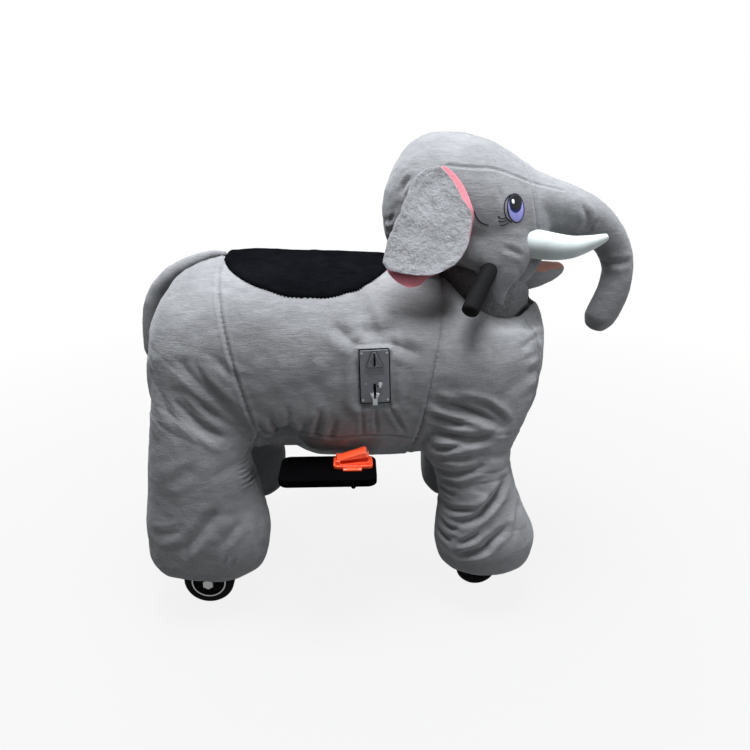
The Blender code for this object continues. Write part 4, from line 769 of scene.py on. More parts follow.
def plush_finish(name, colour, mottle=0.1, pile=1.0, tufts=0.0, streaks=1.0):
    """Short plush: mottled pile with fine level streaks or curled tufts, and a soft sheen on its slopes."""
    pale = sum(colour) > 0.3
    made = Finish(name, colour, 0.96, {
        "Sheen Weight": 0.25 if pale else 0.0, "Sheen Roughness": 0.5, "Sheen Tint": (0.94, 0.97, 1.0, 1),
        "Specular IOR Level": 0.08 if pale else 0.0,
    })
    bands = made.noise(20.0, 4.0, (1.0, 1.0, 3.0), 0.6)
    streak = made.noise(52.0, 5.0, (1.0, 1.0, 6.0), 0.65)
    fine = made.noise(380.0, 3.0, (1.0, 1.0, 1.6), 0.7)
    hair = made.noise(900.0, 2.0, (1.0, 1.0, 0.6), 0.6)
    tone = made.stained(made.noise(7.0, 4.0), 0.32, 1 - mottle, 0.68, 1 + mottle)
    tone = made.darkened(tone, bands, 0.34, 0.62, 1 - mottle * 1.2 * streaks)
    tone = made.darkened(tone, streak, 0.33, 0.64, 1 - mottle * 1.8 * streaks)
    tone = made.darkened(tone, fine, 0.3, 0.66, 0.74, 0.85)
    relief = made.bump(hair, 0.25 * pile, 0.0012)
    relief = made.bump(fine, 0.4 * pile, 0.002, relief)
    if streaks:
        relief = made.bump(streak, 0.4 * pile * streaks, 0.003, relief)
    if tufts:
        tuft = made.noise(75.0, 6.0, (1.0, 1.0, 0.9), 0.62)
        curl = made.noise(210.0, 3.0, None, 0.6)
        tone = made.darkened(tone, tuft, 0.36, 0.58, 1 - tufts * 0.7)
        tone = made.darkened(tone, curl, 0.34, 0.52, 1 - tufts * 1.5)
        relief = made.bump(curl, 0.5, 0.0035, relief)
        relief = made.bump(tuft, 0.4, 0.005, relief)
    made.done(tone, relief)


def thread_finish(name, colour):
    """Satin stitches: fine slanted threads with a low gloss."""
    made = Finish(name, colour, 0.6, {"Sheen Weight": 0.02, "Specular IOR Level": 0.15})
    inputs = {"Vector": made.place, "Scale": 420.0, "Distortion": 1.2}
    wave = made.add("TexWave", inputs, "Fac", bands_direction="DIAGONAL")
    made.done(made.stained(wave, 0.0, 0.82, 1.0, 1.08), made.bump(wave, 0.5, 0.0004))


def moulded_finish(name, colour, roughness, gloss=0.5, grain=260.0, depth=0.0004, wear=0.06):
    """Moulded plastic or rubber: a fine grain, slight colour changes and rubbed spots."""
    made = Finish(name, colour, roughness, {"Specular IOR Level": gloss})
    broad = made.noise(22.0, 4.0)
    made.roughened(broad, 0.1)
    tone = made.stained(broad, 0.3, 1 - wear, 0.72, 1 + wear)
    made.done(tone, made.bump(made.noise(grain, 3.0), 0.2, depth))


def metal_finish(name, colour, roughness, wear=0.1):
    """Metal with light stains and uneven gloss."""
    made = Finish(name, colour, roughness, {"Metallic": 1.0})
    fine = made.noise(40.0, 3.0)
    made.roughened(fine, 0.12)
    tone = made.stained(made.noise(14.0, 4.0), 0.28, 1 - wear, 0.75, 1 + wear)
    made.done(tone, made.bump(fine, 0.12, 0.0003))


def painted_finish(name, colour, roughness):
    """Powder-coated steel with orange peel."""
    made = Finish(name, colour, roughness, {"Coat Weight": 0.15})
    tone = made.stained(made.noise(16.0, 4.0), 0.3, 0.85, 0.7, 1.2)
    made.done(tone, made.bump(made.noise(420.0, 2.0), 0.18, 0.0003))


def plywood_finish(name, colour):
    """Birch plywood: long grain with darker rings."""
    made = Finish(name, colour, 0.62, {})
    grain = made.noise(28.0, 5.0, (0.6, 9.0, 9.0), 0.6)
    made.done(made.stained(grain, 0.3, 0.72, 0.65, 1.12), made.bump(grain, 0.15, 0.0005))


def tusk_finish(name, colour):
    """Smooth pale velour, lightly soiled."""
    made = Finish(name, colour, 0.72, {"Sheen Weight": 0.25})
    tone = made.stained(made.noise(26.0, 5.0), 0.3, 0.88, 0.62, 1.0)
    made.done(tone, made.bump(made.noise(520.0, 3.0), 0.18, 0.001))


# Edges that turn by more degrees than these stay sharp
PLUSH_EDGE, THIN_EDGE, GRIP_EDGE, SMALL_EDGE, HARD_EDGE = 75.0, 80.0, 60.0, 40.0, 35.0


def place(item, body, slot, nodes=(), finish=None, fill=None, angle=PLUSH_EDGE):
    """Give a finished piece its material and its body, shade it smooth and hide the nodes it stands for; its
    slot and its fill are not used.
    """
    if finish:
        item.data.materials.clear()
        item.data.materials.append(bpy.data.materials[finish])
    take(item)
    bpy.ops.object.shade_smooth_by_angle(angle=radians(angle))
    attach(item, body)
    if nodes:
        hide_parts(*nodes)


# Sizes and colours a user may change


def a_length(name, description, default, **limits):
    return FloatProperty(name=name, description=description, default=default, unit="LENGTH", **limits)


def a_number(name, description, default):
    return IntProperty(name=name, description=description, default=default)


def a_colour(name, description, default):
    return FloatVectorProperty(name=name, description=description, default=default, subtype="COLOR")


class RideSizes(bpy.types.PropertyGroup):
    """Sizes of the plush work."""

    body_grid: a_length("Body grid", "Mesh size of the body covers", 0.0036, min=0.002)
    head_grid: a_length("Head grid", "Mesh size of head and trunk", 0.0034, min=0.002)
    seam_depth: a_length("Seam depth", "Depth of the sewn valleys", 0.0032)
    seam_width: a_length("Seam width", "Half width of the sewn valleys", 0.0036)
    stitch_pitch: a_length("Stitch pitch", "Distance between the puckers of a seam", 0.011)
    seat_crown: a_length("Seat crown", "Thickness of the seat pad in its middle", 0.008)
    seat_teeth: a_number("Seat teeth", "Teeth cut along the seat pad's edge", 170)
    tread_grooves: a_number("Tread grooves", "Grooves around each tyre", 28)


class RideColours(bpy.types.PropertyGroup):
    """Colours of the ride."""

    plush: a_colour("Plush", "Grey plush of body, head and trunk", (0.274, 0.277, 0.286))
    ear: a_colour("Ear plush", "Fluffier grey of the ears", (0.29, 0.293, 0.304))
    seat: a_colour("Seat", "Black plush of the seat pad", (0.005, 0.0054, 0.0068))
    lining: a_colour("Lining", "Pink lining of the ears", (0.88, 0.29, 0.345))
    mouth: a_colour("Mouth", "Lining of the lower jaw", (0.56, 0.27, 0.21))
    tusk: a_colour("Tusk", "Pale fabric of the tusks", (0.5, 0.55, 0.545))
    iris: a_colour("Iris", "Thread of the iris", (0.33, 0.33, 0.75))
    pedal: a_colour("Pedal", "Plastic of the accelerator", (0.93, 0.088, 0.026))


def light_world(scene):
    """A dim even light that looks white."""
    world = scene.world or bpy.data.worlds.new("studio")
    scene.world = world
    world.use_nodes = True
    made = Nodes(world.node_tree)
    light = made.tree.nodes["Background"]
    made.fill(light, {"Color": (1.0, 0.99, 0.97, 1), "Strength": 0.12})
    white = made.add("Background", {"Color": (1, 1, 1, 1)}, "Background")
    made.show("World Output", made.seen_directly(), light.outputs["Background"], white)


def lay_floor():
    """White paper that keeps the object's shadow and runs out into the white backdrop."""
    deselect()
    bpy.ops.mesh.primitive_circle_add(vertices=96, radius=12.0, fill_type="TRIFAN")
    floor = named("stage_floor")
    made = Finish("white_paper", (0.2, 0.2, 0.2), 0.95, {"Specular IOR Level": 0.0})
    distance = made.add("VectorMath", {0: made.place}, "Value", operation="LENGTH")
    inputs = {"Value": distance, "From Min": 0.5, "From Max": 2.6, "To Min": 0.87, "To Max": 1.0}
    reach = made.add("MapRange", inputs, "Result")
    share = made.add("Math", {0: made.seen_directly(), 1: reach}, "Value", operation="MULTIPLY")
    glow = made.add("Emission", {}, "Emission")
    made.show("Material Output", share, made.shader.outputs["BSDF"], glow)
    floor.data.materials.append(bpy.data.materials["white_paper"])


class RIDE_OT_stage(bpy.types.Operator):
    """Floor, backdrop, light and the photograph's camera."""

    bl_idname = "ride.stage"
    bl_label = "Stage"

    def execute(self, context):
        context.scene.view_settings.view_transform = "Standard"
        lay_floor()
        light_world(context.scene)
        aim = Vector((0.0, 0.0, 0.6))
        for name, spot, size, power in (
            ("overhead_softbox", (-0.08, -0.36, 3.7), 1.9, 268.0),
            ("far_softbox", (-0.9, 1.7, 2.8), 1.4, 42.0),
            ("front_softbox", (2.2, -1.3, 1.6), 1.2, 22.0),
        ):
            deselect()
            bpy.ops.object.light_add(type="AREA", location=spot)
            lamp = named(name)
            lamp.data.energy = power
            lamp.data.color = (0.94, 0.965, 1.0)
            lamp.data.shape = "DISK"
            lamp.data.size = size
            lamp.rotation_euler = (aim - Vector(spot)).to_track_quat("-Z", "Y").to_euler()

        look_down, look_right = 20.3, 1.9
        turn = (radians(90 - look_down), 0, radians(-look_right))
        deselect()
        bpy.ops.object.camera_add(location=(-0.075, -1.462, 1.0536), rotation=turn)
        camera = named("photo_camera")
        sensor, focal_pixels, image_pixels = 36.0, 640, 750
        camera.data.sensor_width = sensor
        camera.data.lens = sensor * focal_pixels / image_pixels
        camera.data.clip_end = 60.0
        context.scene.camera = camera
        return {"FINISHED"}


class RIDE_OT_finishes(bpy.types.Operator):
    """The materials of plush, thread, plastic, rubber, steel and wood."""

    bl_idname = "ride.finishes"
    bl_label = "Finishes"

    def execute(self, context):
        colours = context.scene.ride_colours
        plush_finish("grey_plush_pile", tuple(colours.plush), 0.1)
        plush_finish("ear_plush_pile", tuple(colours.ear), 0.07, tufts=0.14, streaks=0.0)
        plush_finish("neck_plush_pile", scaled(colours.plush, 0.85), 0.1, tufts=0.26, streaks=0.0)
        plush_finish("black_plush_pile", tuple(colours.seat), 0.2, 0.6)
        plush_finish("pink_lining_pile", tuple(colours.lining), 0.05, 0.5)
        plush_finish("mouth_lining_pile", tuple(colours.mouth), 0.05, 0.5)
        tusk_finish("pale_velour", tuple(colours.tusk))
        thread_finish("black_thread", (0.01, 0.01, 0.012))
        thread_finish("navy_thread", (0.02, 0.025, 0.13))
        thread_finish("lilac_thread", tuple(colours.iris))
        thread_finish("white_thread", (0.9, 0.9, 0.9))
        moulded_finish("black_rubber_grain", (0.0065, 0.0065, 0.007), 0.75, 0.05)
        moulded_finish("black_plastic_grain", (0.012, 0.012, 0.013), 0.45, 0.25)
        moulded_finish("footboard_black", (0.0015, 0.0015, 0.0017), 0.75, 0.0, 340.0, 0.0006)
        moulded_finish("orange_plastic_grain", tuple(colours.pedal), 0.38, 0.5, 300.0, 0.0002, 0.04)
        moulded_finish("grey_plastic_grain", (0.17, 0.18, 0.19), 0.5)
        painted_finish("black_powder_coat", (0.026, 0.026, 0.028), 0.42)
        painted_finish("coin_plate_grey", (0.1, 0.104, 0.118), 0.38)
        metal_finish("zinc_plating", (0.28, 0.28, 0.275), 0.42)
        metal_finish("polished_chrome", (0.78, 0.79, 0.8), 0.12, 0.04)
        metal_finish("dull_chrome", (0.3, 0.315, 0.33), 0.28, 0.15)
        metal_finish("wheel_rim_grey", (0.3, 0.3, 0.3), 0.45)
        plywood_finish("birch_plywood", (0.5, 0.32, 0.17))
        return {"FINISHED"}


def cut_rooms(body):
    """Rooms for what the stuffing holds, the wheels, the coin slots and the neck."""
    room = Vector((0.004,) * 3)
    for node in (
        "rail_left", "rail_right", "rear_post_left", "rear_post_right", "axle_beam", "front_bridge",
        "battery", "battery_tray", "motor_controller", "timer_music_box", "seat_bulkhead_front",
        "seat_bulkhead_rear", "seat_board", "kingpin_tube_left", "kingpin_tube_right", "steering_tube",
        "coin_box", "footboard_bar",
    ):
        low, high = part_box(node)
        cut(body, block(low - room, high + room))
    well_top = 0.143
    for name, side in SIDES:
        kingpin_y = side * KINGPIN_Y
        # The front wheel's well, and a passage for its lever
        cut(body, rod((NECK_X, kingpin_y, 0.0), (NECK_X, kingpin_y, well_top), 0.0585))
        cut(body, block((0.163, 0.0, 0.0), (0.197, kingpin_y, well_top)))
        # The rear wheel's well, and a slot for its axle
        ends = [(REAR_AXLE_X, side * y, REAR_AXLE_Z) for y in (0.144, 0.214)]
        cut(body, rod(*ends, 0.071))
        cut(body, block((REAR_AXLE_X - 0.037, 0.0, 0.0), (REAR_AXLE_X + 0.037, side * 0.15, 0.092)))
    x, z = COIN_CENTRE
    cut(body, block((x - 0.02, COIN_FACE_Y - 0.02, z - 0.044), (x + 0.02, -0.17, z + 0.042)))
    neck_top = (NECK_X, 0, NECK_FLOOR_Z + 0.3)
    cut(body, rod((NECK_X, 0, NECK_FLOOR_Z), neck_top, NECK_RADIUS, 64))


def sculpt(body):
    """Draw in the rump and the rear legs, lift the belly before them and lower the neckline."""
    points = points_of(body)
    x, y, z = points.T
    # The belly rises before the rear legs
    lift = 0.028 * bell(x + 0.23, 0.042) + 0.044 * bell(x + 0.217, 0.021)
    lift *= 0.14 + 0.86 * soft_step(np.abs(y), 0.08, 0.16)
    lift *= soft_fall(z, 0.4, 0.5) * soft_step(x, -0.3, -0.28)
    # The neckline sinks beside the neck
    drop = 0.034 * soft_step(x, 0.1, 0.2) * soft_step(np.abs(y), 0.055, 0.12)
    beyond = np.clip(np.hypot(x - NECK_X, y) - 0.135, 0, None)
    drop *= soft_step(z, 0.655, 0.7) * bell(beyond, 0.045)
    # The rump is drawn in, and the front edges of the rear legs are held back, with a frill under them
    heights, pulls = np.array(RUMP).T
    pull = np.interp(z, heights, pulls, left=0.0) * soft_step(-x, 0.3, 0.44)
    edge = soft_step(np.abs(y), 0.1, 0.16) * soft_step(x, -0.35, -0.285) * soft_fall(x, -0.235, -0.205)
    pull -= 0.018 * edge * bell(z - 0.385, 0.046)
    ahead = soft_step(points_of(body, "normal")[:, 0], 0.55, 0.85)
    band = soft_step(z, 0.325, 0.34) * soft_fall(z, 0.42, 0.435) * ahead
    ruffle, ruffle_pitch = 0.011, 0.0115
    pull += ruffle * edge * band * (np.abs(np.sin(pi * (z + 0.1 * x) / ruffle_pitch)) - 0.5)
    put_points(body, np.stack((x + pull, y, z + lift - drop), 1))


def fold(body):
    """Press in the folds, gathers, leg seams and creases, and the place of the coin plate."""
    surface = surface_of(body)
    edges = gathers(BELLY_SEAM[3::-1], 0.024, 0.06, 0.0058, 0.0062)
    edges += gathers(CHEST_SEAM[:4], 0.025, 0.042, 0.0042, 0.009)
    rear_folds, coin_folds = (
        [(depth, width * 1.25, *line) for depth, width, *line in folds]
        for folds in (REAR_LEG_FOLDS, COIN_FOLDS))
    for name, side in SIDES:
        shift = 0.0 if side < 0 else 0.009
        press_folds(body, surface, rear_folds, side, shift, 0.95)
        press_folds(body, surface, FRONT_LEG_FOLDS, side, shift, 1.8)
        press_folds(body, surface, edges, side)
        for seam in (REAR_LEG_EDGE, BELLY_SEAM, CHEST_SEAM):
            press_folds(body, surface, [(0.005, 0.0036, *seam)], side, taper=False)
    press_folds(body, surface, coin_folds, -1, 0.0, 1.3)
    crumple(body, 0.0018, (6.0, 6.0, 30.0), front_leg_weight)
    crumple(body, 0.0012, (10.0, 9.0, 24.0), rear_leg_weight, start=4.0, turn=0.9)
    dimple_plate(body)


def front_leg_weight(x, y, z):
    """Where the front legs crease: most above the ankle, less on the foot."""
    weight = soft_step(z, 0.15, 0.24) * soft_fall(z, 0.46, 0.56) * (0.4 + 0.6 * soft_step(z, 0.26, 0.32))
    return weight * soft_step(x, 0.03, 0.08) * soft_step(np.abs(y), 0.04, 0.09)


def rear_leg_weight(x, y, z):
    """Where the rear legs crease: below the rump and, less, above the foot."""
    high = soft_step(z, 0.42, 0.48) * soft_fall(z, 0.6, 0.68)
    low = soft_step(z, 0.12, 0.16) * soft_fall(z, 0.3, 0.4)
    return (high + 0.2 * low) * soft_fall(x, -0.34, -0.27) * soft_step(np.abs(y), 0.04, 0.09)


def dimple_plate(body):
    """Press the cover in behind the coin plate and above it."""
    points, normals = points_of(body), points_of(body, "normal")
    dx, dz = points[:, 0] - COIN_CENTRE[0], points[:, 2] - COIN_CENTRE[1]
    outer = points[:, 1] < -0.2
    distance = np.hypot(np.maximum(np.abs(dx) - 0.03, 0), np.maximum(np.abs(dz) - 0.056, 0))
    spot = np.hypot((dx - 0.004) / 0.038, (dz - 0.082) / 0.015)
    move = np.where(outer, 0.005 * bell(distance - 0.022, 0.012) - 0.011 * bell(spot, 1.0), 0.0)
    moved = points + normals * move[:, None]
    under = outer & (distance < 0.0045) & (moved[:, 1] < -0.225)
    moved[under, 1] = COIN_FACE_Y + 0.0048
    put_points(body, moved)


class RIDE_OT_body(bpy.types.Operator):
    """Barrel and legs as one stuffed skin, folded and cut at its two seams."""

    bl_idname = "ride.body"
    bl_label = "Body covers"

    def execute(self, context):
        sizes = context.scene.ride_sizes
        body = loft_x("body", BARREL, 2.3)
        for name, side in SIDES:
            combine(body, loft_z("leg", REAR_LEG, side))
            combine(body, loft_z("leg", FRONT_LEG, side))
        cut_rooms(body)
        remeshed(body, sizes.body_grid, 18)
        sculpt(body)
        uneven(body, 0.01, 0.12, "stuffing_lumps")
        uneven(body, 0.003, 0.035, "small_lumps")
        fold(body)
        for seam in (REAR_SEAM, FRONT_SEAM):
            press_seam(body, seam, sizes.seam_depth, sizes.seam_width, sizes.stitch_pitch)
        apply_modifier(body, "SMOOTH", factor=0.4, iterations=1)

        whole, rear = halves(body, REAR_SEAM, "whole_front", "rear_plush")
        front, middle = halves(whole, FRONT_SEAM, "front_plush", "middle_plush")
        for item, nodes in (
            (rear, ("rear_cover", "rear_leg_left", "rear_leg_right")),
            (middle, ("middle_cover",)),
            (front, ("front_cover", "front_leg_left", "front_leg_right")),
        ):
            place(item, "root", "grey_plush", nodes, "grey_plush_pile", 0.6)
        return {"FINISHED"}


def back_at(covers, x, y):
    """The highest point of the covers at a place, and the way out of them."""
    hits = [cover.ray_cast(Vector((x, y, ABOVE_Z)), Vector((0, 0, -1)))[0] for cover in covers]
    hits = [hit for hit in hits if hit is not None]
    if not hits:
        raise RuntimeError("the seat pad reaches beyond the covers")
    best = max(hits, key=lambda hit: hit.z)
    return best, Vector((0, best.y * 1.4, 0.5 + 0.5 * (0.24 - abs(y)))).normalized()


class RIDE_OT_seat(bpy.types.Operator):
    """Black seat pad that lies over the back, with fine teeth along its edge."""

    bl_idname = "ride.seat"
    bl_label = "Seat pad"

    def execute(self, context):
        sizes = context.scene.ride_sizes
        covers = [surface_of(bpy.data.objects[name]) for name in ("middle_plush", "rear_plush")]
        item, share, angle = ball("seat_pad_plush", 2 * sizes.seat_teeth, 60)
        radial = np.sin(share * pi) ** 0.75
        edge = np.clip((radial - 0.96) / 0.04, 0, 1)
        reach = radial * (1 + 0.008 * np.cos(angle * sizes.seat_teeth) * edge)
        middle, half_length, half_width, power = -0.176, 0.185, 0.178, 2.4
        x = middle + half_length * squared(np.cos(angle), power) * reach
        y = half_width * squared(np.sin(angle), power) * reach
        crown = np.maximum(0.0, 1 - radial**2) ** 0.5
        rounding = np.clip((1 - radial) / 0.03, 0.0, 1.0) ** 0.5
        rim, gap = 0.0045, 0.001
        height = (rim + (sizes.seat_crown - rim) * crown) * np.where(share > 0.5, rounding, 0.0)
        points = np.zeros((len(angle), 3))
        for index in range(len(angle)):
            spot, away = back_at(covers, x[index], y[index])
            points[index] = spot + away * (gap + height[index])
        put_points(item, points)
        face_outwards(item)
        place(item, "root", "black_plush", ("seat_pad",), "black_plush_pile", 0.5)
        return {"FINISHED"}


class RIDE_OT_tail(bpy.types.Operator):
    """Stuffed tail that lies along the rump."""

    bl_idname = "ride.tail"
    bl_label = "Tail"

    def execute(self, context):
        tail = loft_line("tail_plush", TAIL, around=40, along=110, cap=0.06)
        uneven(tail, 0.003, 0.03, "tail_lumps")
        place(tail, "root", "grey_plush", ("tail",), "grey_plush_pile", 0.7)
        return {"FINISHED"}


def cut_hand_space(item, side, radius, reach):
    """Cut the room around the handlebar, and a reach beyond its end, out of a cover."""
    start, end = (Vector((x, side * y, z)) for x, y, z in HANDLEBAR)
    cut(item, rod(start, end + (end - start).normalized() * reach, radius))


def cheek_weight(x, y, z):
    """Where the head's cover creases: low on the cheeks, behind, and at the snout."""
    low = soft_fall(z, 0.76, 0.84) * soft_step(x, 0.12, 0.2) * soft_fall(x, 0.34, 0.4)
    return low + 0.5 * soft_fall(x, 0.0, 0.06) + 0.5 * soft_step(x, 0.4, 0.44) * (z > 0.8)


class RIDE_OT_head(bpy.types.Operator):
    """Head and trunk as one skin with its seams, cut where the trunk is sewn on, and the jaw."""

    bl_idname = "ride.head"
    bl_label = "Head, trunk and jaw"

    def execute(self, context):
        head = loft_x("head", HEAD, 2.1, 96, 110)
        combine(head, loft_line("snout", TRUNK, around=64, along=140))
        for name, side in SIDES:
            cut_hand_space(head, side, 0.024, 0.05)
            combine(head, loft_z("cheek", CHEEK, side, 48, 60))
        remeshed(head, context.scene.ride_sizes.head_grid, 16)
        uneven(head, 0.006, 0.09, "head_lumps")
        uneven(head, 0.002, 0.028, "head_small_lumps")
        surface = surface_of(head)
        for name, side in SIDES:
            press_folds(head, surface, HEAD_FOLDS, side, 0.0 if side < 0 else 0.005)
            press_folds(head, surface, HEAD_SEAMS, side, taper=False)
        press_seam(head, TRUNK_SEAM, 0.002, 0.003, 0.009, 0.8)
        crumple(head, 0.0022, (14.0, 12.0, 9.0), cheek_weight)
        apply_modifier(head, "SMOOTH", factor=0.35, iterations=1)
        trunk, face = halves(head, TRUNK_SEAM, "trunk_plush", "head_plush")
        place(face, "steering", "grey_plush", ("head_cover",), "grey_plush_pile", 0.8)
        place(trunk, "steering", "grey_plush", ("trunk",), "grey_plush_pile", 0.8)

        jaw = loft_x("jaw_plush", JAW, 2.2, 48, 60)
        uneven(jaw, 0.002, 0.02, "jaw_lumps")
        cut(jaw, face, keep=True)
        cut(jaw, trunk, keep=True)
        for finish in ("grey_plush_pile", "mouth_lining_pile"):
            jaw.data.materials.append(bpy.data.materials[finish])
        for part in jaw.data.polygons:
            part.material_index = 1 if part.normal.z > 0.62 else 0
        place(jaw, "steering", "grey_plush", ("lower_jaw",), None, 0.7)
        return {"FINISHED"}


class RIDE_OT_neck(bpy.types.Operator):
    """Neck sleeve that the head turns on."""

    bl_idname = "ride.neck"
    bl_label = "Neck sleeve"

    def execute(self, context):
        neck = spun("neck_plush", NECK, (NECK_X, 0, 0), (0, 0, 1))
        apply_modifier(neck, "SUBSURF", levels=2, render_levels=2)
        uneven(neck, 0.005, 0.03, "neck_gathers")
        cut(neck, bpy.data.objects["head_plush"], keep=True)
        for name, side in SIDES:
            cut_hand_space(neck, side, 0.036, 0.036)
        place(neck, "steering", "grey_plush", ("neck_sleeve",), "neck_plush_pile", 0.4)
        return {"FINISHED"}


class RIDE_OT_tusks(bpy.types.Operator):
    """Two curved, stuffed tusks."""

    bl_idname = "ride.tusks"
    bl_label = "Tusks"

    def execute(self, context):
        for name, side in SIDES:
            tusk = loft_line("tusk_%s_velour" % name, TUSK, side, around=40, along=100, cap=0.05)
            cut(tusk, bpy.data.objects["head_plush"], keep=True)
            place(tusk, "steering", "pale_plush", ("tusk_" + name,), "pale_velour", 0.9)
        return {"FINISHED"}


def flap(name, outline, side, setback, thickness, around, along):
    """A closed pad over an outline, thickest inside and rounded at its edge."""
    item, share, angle = ball(name, around, along)
    outline = np.asarray(outline)
    centre = outline.mean(0)
    arms = outline - centre
    bearing = np.arctan2(arms[:, 1], arms[:, 0])
    order = np.argsort(bearing)
    bearing, length = bearing[order], np.hypot(*arms[order].T)
    reach = np.interp(angle, np.r_[bearing - 2 * pi, bearing, bearing + 2 * pi], np.tile(length, 3))
    radial = np.sin(share * pi)
    x = centre[0] + reach * radial * np.cos(angle)
    z = centre[1] + reach * radial * np.sin(angle)
    if side > 0:
        x = np.where(x < EAR_FAR_BACK_X, EAR_FAR_BACK_X + (x - EAR_FAR_BACK_X) * 0.2, x)
    # Further out and thicker towards its tip
    drop = (1.0 - z) / 0.224
    setback = setback * (1 - 0.92 * soft_step(z, 0.87, 0.93))
    depth = thickness * 0.5 * np.cos(share * pi) * (1 + 0.25 * np.clip(drop, 0, 1))
    y = 0.126 + 0.1 * drop + setback + 0.01 * radial**4 + depth
    return shaped(item, x, side * y, z)


class RIDE_OT_ears(bpy.types.Operator):
    """Two floppy ears: a fluffy pad outside and a pink lining that shows along its edges."""

    bl_idname = "ride.ears"
    bl_label = "Ears"

    def execute(self, context):
        for name, side in SIDES:
            pad = flap("ear_%s_plush" % name, EAR, side, 0.0, 0.015, 144, 96)
            uneven(pad, 0.006, 0.045, "ear_waves_" + name)
            uneven(pad, 0.0022, 0.01, "ear_tufts_" + name)
            place(pad, "steering", "grey_plush", ("ear_" + name,), "ear_plush_pile", 0.5, THIN_EDGE)
            lining = flap("ear_%s_lining" % name, EAR_LINING, side, -0.0175, 0.006, 120, 48)
            place(lining, "steering", "pink_plush", (), "pink_lining_pile", 0.2, THIN_EDGE)
        return {"FINISHED"}


def patch(name, surface, side, centre, half, height):
    """A raised oval of stitches that follows the head."""
    item, share, angle = ball(name, 64, 24)
    tilt = radians(EYE_TILT)
    across = half[0] * np.sin(share * pi) * np.cos(angle)
    up = half[1] * np.sin(share * pi) * np.sin(angle)
    x = centre[0] + across * cos(tilt) - up * sin(tilt)
    z = centre[1] + across * sin(tilt) + up * cos(tilt)
    rise = height * np.clip(0.45 + 1.2 * np.cos(share * pi), -0.5, 1.0)
    points = np.zeros((len(x), 3))
    for index in range(len(x)):
        hit, normal = from_outside(surface, x[index], z[index], side)
        if hit is None:
            raise RuntimeError("an eye lies beside the head")
        points[index] = hit + normal * rise[index]
    put_points(item, points)
    return face_outwards(item)


def stitch_line(name, surface, side, points, radius):
    """A thin cord of stitches along a line on the head."""
    spots = drawn_on(surface, points, side, 0.002)
    rows = [(*spot, radius, radius) for spot in spots]
    level = abs(spots[0][2] - spots[-1][2]) < 0.01
    return loft_line(name, rows, 1, (0, 0, 1) if level else (0, 1, 0), 10, max(4 * len(rows), 24), 0.05)


class RIDE_OT_eyes(bpy.types.Operator):
    """Embroidered eyes with lids, lashes and a curl, raised on the head cover."""

    bl_idname = "ride.eyes"
    bl_label = "Eyes"

    def execute(self, context):
        surface = surface_of(bpy.data.objects["head_plush"])
        for name, side in SIDES:
            for layer, finish, height, centre, half in EYE_LAYERS:
                item = patch("eye_%s_%s" % (name, layer), surface, side, centre, half, height)
                place(item, "steering", "eye_thread", (), finish, None, THIN_EDGE)
            for line, radius, *points in EYE_LINES:
                item = stitch_line("eye_%s_%s" % (name, line), surface, side, points, radius)
                place(item, "steering", "eye_thread", (), "black_thread", None, THIN_EDGE)
        return {"FINISHED"}


def place_leaning(item, slot, finish, angle=SMALL_EDGE, nodes=()):
    """Lean a piece as the cover draws the coin plate, and place it."""
    middle = Vector((COIN_CENTRE[0], 0, COIN_CENTRE[1]))
    turn = Matrix.Rotation(radians(-COIN_LEAN), 4, "Y")
    item.data.transform(Matrix.Translation(middle) @ turn @ Matrix.Translation(-middle))
    place(item, "root", slot, nodes, finish, None, angle)


def make_shade_gap_frame():
    """A black frame behind the plate; its edge shows around the plate as painted shade for the gap between
    plate and cover.
    """
    # Painted shade: the black rim that shows around the plate stands for the shadow in the gap between plate
    # and cover
    gasket = PLATE.prism(rounded_outline((-31.5, -59), (31.5, 59), 3.5, 5), 1.2, 5, "coin_plate_gasket")
    cut(gasket, PLATE.block((-26, -10, -53), (26, 10, 53)))
    place_leaning(gasket, "black_rubber", "footboard_black")


def make_plate():
    """The face: a thin plate with a lip, coin guide, slots, a sunk bare field and a fine groove."""
    plate = PLATE.prism(rounded_outline((-29.5, -57), (29.5, 57), 2.5, 5), 0, 4, "coin_plate_face")
    rounded(plate, 0.0009, 3)
    guide = PLATE.prism(
        ((-15, 20.5), (15, 20.5), (16.5, 24), (4, 52), (-4, 52), (-16.5, 24)), -2.6, 3.4)
    cut(guide, PLATE.prism(((-10.5, 24), (10.5, 24), (3, 47), (-3, 47)), -4, -1.2))
    combine(guide, PLATE.block((-4.2, -3, 22.5), (4.2, 0, 51)))
    rounded(guide, 0.0005, 2)
    moat = ((-16.6, 18.8), (16.6, 18.8), (18.2, 23.8), (5.4, 53.8), (-5.4, 53.8), (-18.2, 23.8))
    cut(plate, PLATE.prism(moat, -2, 2.8))
    combine(plate, guide)
    entry = ((-2.7, -10, 22), (2.5, 10, 51.5))
    way_out = ((-4, -10, -45.5), (2, 10, -15))
    bare_field = ((-19.5, -2, 3.5), (18.5, 1.2, 15))
    for corners in (entry, way_out, bare_field):
        cut(plate, PLATE.block(*corners))
    groove = ((-13, 0, -1), (-8, 0, 1), (-3, 0, 0), (6, 0, -8), (13.5, 0, -10.5))
    for start, end in zip(groove, groove[1:]):
        cut(plate, PLATE.rod(start, end, 0.6, 8))
    # The track that the return button's neck moves in
    pivot, arm = Vector((-9, 0, -5.6)), Vector((20, 0, -8.5))
    for turn in range(0, 21, 4):
        x, y, z = pivot + Matrix.Rotation(radians(turn), 3, "Y") @ arm
        cut(plate, PLATE.rod((x, -10, z), (x, 10, z), 2.9, 20))
    place_leaning(plate, "plate_metal", "coin_plate_grey", HARD_EDGE, ("coin_plate",))


